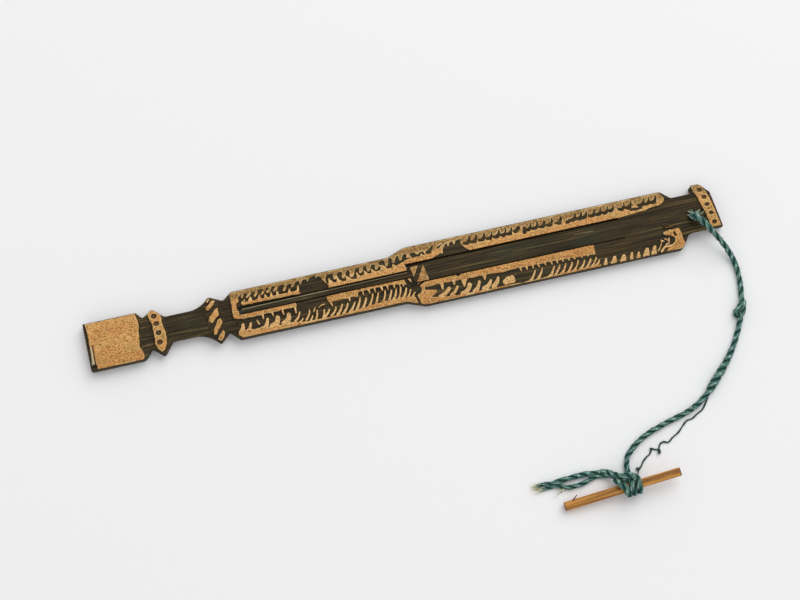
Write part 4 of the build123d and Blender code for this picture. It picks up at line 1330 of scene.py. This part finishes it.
def edge_at(places, side):
    """X and Y of a long edge at places along the strip, with its corners rounded by a running mean."""
    edge = strip_edge(side)
    fine = np.arange(stations[0], stations[-1] + EDGE_FINE, EDGE_FINE)
    y = np.interp(fine, stations, edge[:, 1])
    flare, striped = (edge[list(at).index(name)] for name in ("flare", "striped"))
    reach, rise = striped - flare
    radius = (reach**2 + rise**2) / (2 * abs(rise))
    ahead = np.interp(fine, stations, edge[:, 0]) - flare[0]
    arc = flare[1] + math.copysign(1, rise) * (radius - np.sqrt(np.maximum(radius**2 - ahead**2, 0)))
    y = np.where((ahead > 0) & (ahead < reach), arc, y)
    spread = int(CORNER_ROUND / EDGE_FINE)
    mean = np.hanning(2 * spread + 3)[1:-1]
    y = np.convolve(np.pad(y, spread, mode="edge"), mean / mean.sum(), mode="valid")
    return np.interp(places, stations, edge[:, 0]), np.interp(places, fine, y)


def filled(marks, steps):
    """Places from each mark to the next, no further apart than that run's step, with every mark kept."""
    runs = [
        np.linspace(low, high, max(math.ceil((high - low) / step), 1), endpoint=False)
        for low, high, step in zip(marks, marks[1:], steps)
    ]
    return np.concatenate(runs + [marks[-1:]])


def patch_distance(u, v, corners):
    """Signed distance to a polygon, positive inside: the least distance to its sides, and inside where a ray
    along u crosses an odd number of them."""
    least = np.full(u.shape, FAR)
    inside = np.zeros(u.shape, bool)
    for (u0, v0), (u1, v1) in zip(corners, corners[1:] + corners[:1]):
        run, rise = u1 - u0, v1 - v0
        share = np.clip(((u - u0) * run + (v - v0) * rise) / (run**2 + rise**2), 0, 1)
        least = np.minimum(least, np.hypot(u - u0 - share * run, v - v0 - share * rise))
        crossed = (v0 > v) != (v1 > v)
        inside ^= crossed & (u < u0 + (v - v0) * run / (rise or FAR))
    return np.where(inside, least, -least)


def stroke_distance(u, v, stroke):
    """Signed distance to a tapering curved stroke, positive inside: half the width at the nearest place on
    its middle line less the distance to it, where the middle line is a parabola in short runs."""
    u0, v0, u1, v1, sway, width0, width1 = stroke
    t = np.linspace(0, 1, STROKE_PLACES)
    run, rise = u1 - u0, v1 - v0
    bow = 4 * sway * t * (1 - t) / math.hypot(run, rise)
    line = np.stack((u0 + run * t - rise * bow, v0 + rise * t + run * bow), -1)
    best = np.full(u.shape, -FAR)
    for here, after, (low, low_v), (high, high_v) in zip(t, t[1:], line, line[1:]):
        du, dv = high - low, high_v - low_v
        share = np.clip(((u - low) * du + (v - low_v) * dv) / (du**2 + dv**2), 0, 1)
        width = width0 + (width1 - width0) * (here + (after - here) * share)
        best = np.maximum(best, width / 2 - np.hypot(u - low - share * du, v - low_v - share * dv))
    return best


def blade(tip, foot, lean, width):
    """Stroke of a curved blade that leans along the strip."""
    u, v = tip
    return (u - lean, foot, u, v, -BLADE_BOW * lean, width, BLADE_TIP * width)


def shifted(stroke, u):
    """The same stroke further along the strip."""
    return (stroke[0] + u, stroke[1], stroke[2] + u, *stroke[3:])


def edge_tooth(low, high, top):
    """Corners of a leaning tooth on the lower edge."""
    low_back, high_back = TOOTH_BACK
    return ((low - low_back, TOOTH_FOOT), (high - high_back, TOOTH_FOOT), (high, top),
            (low + TOOTH_TOP * (high - low), top))


LEAVE = 1
CUT = -1
BAND_STEPS = 2              # the first steps leave the bands, and the rest the teeth and single cuts
carving = (
    (LEAVE, patch_distance, (GRIP_FACE, PITTED_FACE, BODY_FACE, PLATE_FACE) + STRIPES),
    (CUT, patch_distance, GROOVES + (FIELD,)),
    (LEAVE, stroke_distance, HOOKS + LOBES + SPIKES + LEAVES + SPURS + BLADES_WIDE),
    (LEAVE, stroke_distance, [shifted(SPUR_LEFT, u) for u in SHORT_SPURS_LEFT]),
    (LEAVE, stroke_distance, [shifted(SPUR_RIGHT, u) for u in SHORT_SPURS_RIGHT]),
    (LEAVE, stroke_distance, [blade(tip, *BLADE_LEFT) for tip in BLADES_LEFT]),
    (LEAVE, stroke_distance, [blade(tip, *BLADE_RIGHT) for tip in BLADES_RIGHT]),
    (LEAVE, patch_distance, [edge_tooth(*tooth) for tooth in EDGE_TEETH]),
    (CUT, stroke_distance, GOUGES + tuple(shifted(cut, u) for u in COMMAS for cut in COMMA_CUTS)),
    (LEAVE, stroke_distance, FLECKS),
)


def carved(u, v, steps):
    """Signed distance in pixels to the edge of the rind that is left, positive on it: each shape of the steps
    in turn is left standing or cut away, over the columns that it can reach."""
    field = np.full(u.shape, -FAR)
    for sign, distance, shapes in steps:
        for shape in shapes:
            shape_u = (shape[0], shape[2]) if distance is stroke_distance else [corner[0] for corner in shape]
            near = (u.max(1) > min(shape_u) - REACH) & (u.min(1) < max(shape_u) + REACH)
            inside = distance(u[near], v[near], shape)
            keep = np.maximum if sign == LEAVE else np.minimum
            field[near] = keep(field[near], sign * inside)
    return field


def pit_distance(u, v, places, size):
    """Signed distance in pixels to the nearest drilled pit, positive inside, as for an ellipse."""
    along, aside = size
    reaches = [np.hypot((u - pit_u) / (along / 2), (v - pit_v) / (aside / 2)) for pit_u, pit_v in places]
    return np.max([aside / 2 * (1 - reach) for reach in reaches], axis=0)


def rows_across(counts):
    """Rows across the strip as places from 0 to 3: over the lower rail, the slot and the upper rail."""
    low, slot, high = counts
    lower = np.linspace(0, 1, low, endpoint=False)
    middle = np.linspace(1, 2, slot, endpoint=False)
    return np.concatenate((lower, middle, np.linspace(2, 3, high + 1)))


def row_y(lines, places):
    """Y of each row at each column, between the strip's edges and the slot's."""
    part = np.minimum(places.astype(int), 2)
    share = places - part
    return lines[:, part] * (1 - share) + lines[:, part + 1] * share


def grid_quads(index):
    """Quads of a grid of point numbers, facing up where rows run along X and columns along Y."""
    return np.stack((index[:-1, :-1], index[1:, :-1], index[1:, 1:], index[:-1, 1:]), -1)


def wall(upper, lower):
    """Quads from a row of points down to another, facing to the right of the way the rows run."""
    return np.stack((lower[:-1], lower[1:], upper[1:], upper[:-1]), -1).tolist()


def rind_z(y):
    """Height of the uncarved rind."""
    return CROWN - CULM_RADIUS + np.sqrt(CULM_RADIUS**2 - y**2)


def pixels(x, y):
    """Places on the strip in pixels along and across it."""
    return (x - at["grip"]) / PIXEL, y / PIXEL + V_MIDDLE


def most(distance, u, v, shapes):
    """Greatest of the signed distances to several shapes."""
    return np.max([distance(u, v, shape) for shape in shapes], axis=0)


def strip_top(x, y, edge_gap):
    """Height of the carved face and its values: the rind's curve on the raised faces, sloping flanks down to
    the scraped ground, then the cuts, the pits, the cord hole and a worn edge."""
    u, v = pixels(x, y)
    hand_u = u + HAND * wobble(u, v, HAND_RUN)
    hand_v = v + HAND * wobble(u, v, HAND_RUN)
    raised_faces = (GRIP_FACE, PITTED_FACE, STRIPED_TOP, BODY_FACE, PLATE_FACE)
    raised = most(patch_distance, hand_u, hand_v, raised_faces)
    field = carved(hand_u, hand_v, carving)
    bands = carved(hand_u, hand_v, carving[:BAND_STEPS])
    tooth = smooth(TOOTH_SOFT, -TOOTH_SOFT, bands) * smooth(-TOOTH_SOFT, TOOTH_SOFT, field)
    pits = np.maximum(pit_distance(u, v, BEAD_PITS, BEAD_PIT), pit_distance(u, v, PLATE_PITS, PLATE_PIT))
    uncut = GROUND + (rind_z(y) - GROUND) * smooth(-FLANK / PIXEL, 0, raised)
    field_gap = np.maximum(np.abs(y - AXIS) - slot_half_wide, ROOT_X - x)
    floor = np.maximum(np.minimum(uncut - CUT_DEPTH, CUT_FLOOR), GROUND - CUT_BELOW)
    floor += (GROUND - floor) * smooth(FIELD_SLOPE, 0, field_gap)
    floor = np.minimum(floor, uncut)
    z = floor + (uncut - floor) * smooth(*CUT_WALL, field)
    z -= PIT_DEPTH * smooth(0, PIT_WALL, pits)
    hole = np.hypot(x - HOLE_X, y - HOLE_Y) - HOLE_DIAMETER / 2
    z -= HOLE_SINK * smooth(HOLE_WALL, -HOLE_WALL, hole)
    z += ROUGH * wobble(u, v, ROUGH_RUN)
    z += SCRAPED * wobble(u / SCRAPED_DRAWN, v, SCRAPED_RUN) * smooth(SCRAPED_SOFT, -SCRAPED_SOFT, field)
    z -= EDGE_WEAR * np.clip(1 - edge_gap / EDGE_WEAR_RUN, 0, 1) ** 2
    field = np.minimum(field, PIT_EDGE - pits) * PIXEL
    return z, np.minimum(field, edge_gap - EDGE_LINE), tooth, PIT_BARE * smooth(0, PIT_BARE_RUN, pits)


def make_frame():
    """Carved strip as one closed skin. Its columns lie across the strip between the two long edges, leaning
    as the steps and the plate do. Its rows divide the lower rail, the slot and the upper rail. The slot's
    cells are left out of the face and the back, and walls join the two along every edge."""
    slot_step = (SHOULDER_X, SHOULDER_X + SHOULDER_WALL)
    recess_steps = (RECESS_X, RECESS_X + RECESS_WALL, RECESS_END_X, RECESS_END_X + RECESS_WALL)
    marks = np.unique(np.concatenate((stations, slot_step, recess_steps, (SLOT_X, ROOT_X, FINE_FROM))))
    middle = (marks[:-1] + marks[1:]) / 2
    fine = ((middle > at["grip_notch"]) & (middle < at["throat"])) | (middle > at["plate"])
    fine |= (middle > FINE_FROM) & (middle < at["body"])
    places = filled(marks, np.where(fine, FINE_STEP, STEP))
    upper_x, upper_y = edge_at(places, 1)
    lower_x, lower_y = edge_at(places, -1)
    slot_marks = (SLOT_X, *slot_step, ROOT_X, HOLE_X, at["end"])
    slot_y = np.interp(places, slot_marks, (AXIS, AXIS, AXIS, AXIS, HOLE_Y, END_ROWS_Y))
    slot_half = np.interp(places, slot_marks, (
        SLOT_TIP_WIDTH / 2, SLOT_REED_WIDTH / 2, slot_half_wide, slot_half_wide, ROWS_HALF, ROWS_HALF))
    lines = np.stack((lower_y, slot_y - slot_half, slot_y + slot_half, upper_y), -1)
    skins = []
    for counts in (FACE_ROWS, BACK_ROWS):
        y = row_y(lines, rows_across(counts))
        share = (y - lower_y[:, None]) / (upper_y - lower_y)[:, None]
        skins.append((lower_x[:, None] + (upper_x - lower_x)[:, None] * share, y))
    (x, y), (back_x, back_y) = skins
    edge_gap = np.minimum(upper_y[:, None] - y, y - lower_y[:, None])
    z, field, tooth, bare = strip_top(x, y, edge_gap)
    back_z = np.maximum(HOLLOW_DEPTH - HOLLOW_RADIUS + np.sqrt(HOLLOW_RADIUS**2 - back_y**2), 0)
    in_recess = (places > RECESS_X + RECESS_WALL / 2) & (places < RECESS_END_X + RECESS_WALL / 2)
    back_z = np.where(in_recess[:, None], RECESS_HEIGHT, back_z)
    face = np.arange(x.size).reshape(x.shape)
    rim = face + x.size
    back = 2 * x.size + np.arange(back_x.size).reshape(back_x.shape)
    first, last = np.searchsorted(places, (SLOT_X, ROOT_X))
    faces = []
    for index, counts, turn in ((face, FACE_ROWS, 1), (back, BACK_ROWS, -1)):
        quads = grid_quads(index)
        kept = np.ones(quads.shape[:2], bool)
        kept[first:last, counts[0]:counts[0] + counts[1]] = False
        faces += quads[kept][:, ::turn].tolist()
    low, high = FACE_ROWS[0], FACE_ROWS[0] + FACE_ROWS[1]
    back_low, back_high = BACK_ROWS[0], BACK_ROWS[0] + BACK_ROWS[1]
    slot = slice(first, last + 1)
    outer_edges = face[:, 0], face[-1], face[::-1, -1], face[0, ::-1]
    slot_sides = face[slot, high], face[slot, low][::-1]
    slot_ends = face[first, low:high + 1], face[last, low:high + 1][::-1]
    for edge in outer_edges + slot_sides + slot_ends:
        faces += wall(edge, edge + x.size)
    faces += wall(rim[:, 0], back[:, 0]) + wall(rim[::-1, -1], back[::-1, -1])
    faces += wall(rim[slot, high], back[slot, back_high])
    faces += wall(rim[slot, low][::-1], back[slot, back_low][::-1])
    faces.append(rim[0].tolist() + back[0, ::-1].tolist())
    faces.append(back[-1].tolist() + rim[-1, ::-1].tolist())
    faces.append(back[first, back_low:back_high + 1].tolist() + rim[first, low:high + 1][::-1].tolist())
    faces.append(rim[last, low:high + 1].tolist() + back[last, back_low:back_high + 1][::-1].tolist())
    layers = (x, y, z), (x, y, z - RIM), (back_x, back_y, back_z)
    points = np.concatenate([np.stack(layer, -1).reshape(-1, 3) for layer in layers])
    behind = np.ones(back_x.shape)
    behind[:, [0, -1]] = 0
    # darker olive towards the upper edge, from the body on
    darkened = smooth(DARKENED_REACH, DARKENED_FULL, upper_y[:, None] - y)
    darkened *= smooth(at["body"] - DARKENED_START, at["body"], x)
    pale = smooth(-SLIVER_SOFT, SLIVER_SOFT, patch_distance(*pixels(x, y), GRIP_SLIVER))
    none, none_behind = np.zeros(x.shape), np.zeros(back_x.shape)
    skin_values = {
        "rind": (field, none - 2 * RIM, none_behind + OFF_RIND),
        "bare": (bare, none, behind),
        "darkened": (darkened, darkened, none_behind),
        "pale": (pale, none, none_behind),
        "tooth": (tooth, none, none_behind),
    }
    values = {name: np.concatenate([skin.ravel() for skin in value]) for name, value in skin_values.items()}
    piece = put_mesh("carved_frame", used_only(points, faces, values), bamboo_material, "harp")
    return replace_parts(piece, "frame")


def make_tongue():
    """Tongue as a flat bar carried along the slot: narrow to its leaning shoulder, then wide to its root. Two
    small rind faces stand on it past the shoulder."""
    shoulder_x = SHOULDER_X + SHOULDER_GAP
    marks = np.array((
        TIP_X, shoulder_x, shoulder_x + TONGUE_SHOULDER_STEP, SHOULDER_X + TONGUE_FINE_RUN, ROOT_X))
    places = filled(marks, (TONGUE_STEP, TONGUE_SHOULDER_STEP, TONGUE_FINE_STEP, TONGUE_STEP))[:, None]
    half = np.interp(places, marks[:3], (TIP_WIDTH / 2, REED_WIDTH / 2, BASE_WIDTH / 2))
    depth = np.interp(places, marks[1:3], (REED_THICKNESS, TONGUE_THICKNESS))
    lean = np.interp(places, (TIP_X, SHOULDER_X - TONGUE_LEAN_RUN), (0, math.tan(SHOULDER_LEAN)))
    share = np.append(np.linspace(-1, 1, TONGUE_TOP_ROWS), np.linspace(1, -1, TONGUE_UNDER_ROWS))[None, :]
    on_top = np.arange(share.size) < TONGUE_TOP_ROWS
    y = AXIS + half * share
    x = places - y * lean
    u, v = pixels(x, y)
    field = most(patch_distance, u, v, TONGUE_FACES) * PIXEL
    above = GROUND - BEVEL * np.clip(1 - half * (1 - np.abs(share)) / BEVEL_RUN, 0, 1)
    above += RAISE * smooth(*RAISE_WALL, field) + TONGUE_SCRAPED * wobble(u / SCRAPED_DRAWN, v, SCRAPED_RUN)
    # painted highlight along the reed's upper edge
    sheen = SHEEN * smooth(*SHEEN_RUN, half * (1 - share)) * (share > 0) * (places < SHOULDER_X)
    scratch = SCRATCH_PALE * smooth(0, SCRATCH_SOFT, stroke_distance(u, v, SCRATCH))
    values = {
        "rind": np.where(on_top, field, OFF_RIND),
        "bare": np.broadcast_to(UNDER_BARE * ~on_top, x.shape),
        "darkened": np.full(x.shape, TONGUE_DARKENED),
        "pale": np.maximum(sheen, scratch) * on_top,
        "tooth": np.zeros(x.shape),
    }
    points = np.stack((x, y, np.where(on_top, above, GROUND - depth)), -1)
    parts = points, tube_faces(1, len(places), share.size), values
    piece = put_mesh("sprung_tongue", parts, bamboo_material, None)
    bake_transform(piece)
    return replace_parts(piece, "tongue")


make_frame()
make_tongue()


# Floor, light and camera


def stand(thing, right, up, back, place):
    """Stands a lamp or the camera at a place in metres, with the way back from what it looks at."""
    turn = Matrix(np.stack((right, up, back), 1).tolist()).to_4x4()
    turn.translation = place.tolist()
    thing.matrix_world = turn


def make_stage():
    """Pale floor, soft light from the upper right and an even light from all round."""
    floor_mesh = bpy.data.meshes.new("floor")
    corners = [(x * FLOOR_REACH, y * FLOOR_REACH, 0) for x, y in ((-1, -1), (1, -1), (1, 1), (-1, 1))]
    floor_mesh.from_pydata(corners, [], [(0, 1, 2, 3)])
    floor_mesh.materials.append(make_floor_material())
    add("floor", floor_mesh)
    lamp = bpy.data.lights.new("window", "AREA")
    lamp.energy = LAMP_POWER
    lamp.size = LAMP_SIZE
    back = unit(LAMP_PLACE)
    side = unit(np.cross((0, 0, 1), back))
    stand(add("window", lamp), side, np.cross(back, side), back, LAMP_PLACE)
    world = bpy.data.worlds.new("room")
    world.use_nodes = True
    background = world.node_tree.nodes["Background"]
    link(world.node_tree, background, {"Color": (1, 1, 1, 1), "Strength": ROOM_LIGHT})
    bpy.context.scene.world = world


def make_camera():
    """Camera tilted a little from straight down, and rolled so that the strip rises to the right."""
    right = np.array((math.cos(CAMERA_ROLL), -math.sin(CAMERA_ROLL), 0.0))
    ahead = np.array((math.sin(CAMERA_ROLL), math.cos(CAMERA_ROLL), 0.0))
    z = np.array((0.0, 0.0, 1.0))
    back = -ahead * math.sin(CAMERA_TILT) + z * math.cos(CAMERA_TILT)
    up = ahead * math.cos(CAMERA_TILT) + z * math.sin(CAMERA_TILT)
    camera_data = bpy.data.cameras.new("camera")
    camera_data.lens = LENS
    camera_data.sensor_width = SENSOR
    camera_data.clip_start = CLIP_START
    camera = add("camera", camera_data)
    stand(camera, right, up, back, (CAMERA_AIM + back * CAMERA_DISTANCE) * MM)
    bpy.context.scene.camera = camera


make_stage()
make_camera()
bpy.context.scene.view_settings.view_transform = "Standard"

bpy.context.view_layer.update()
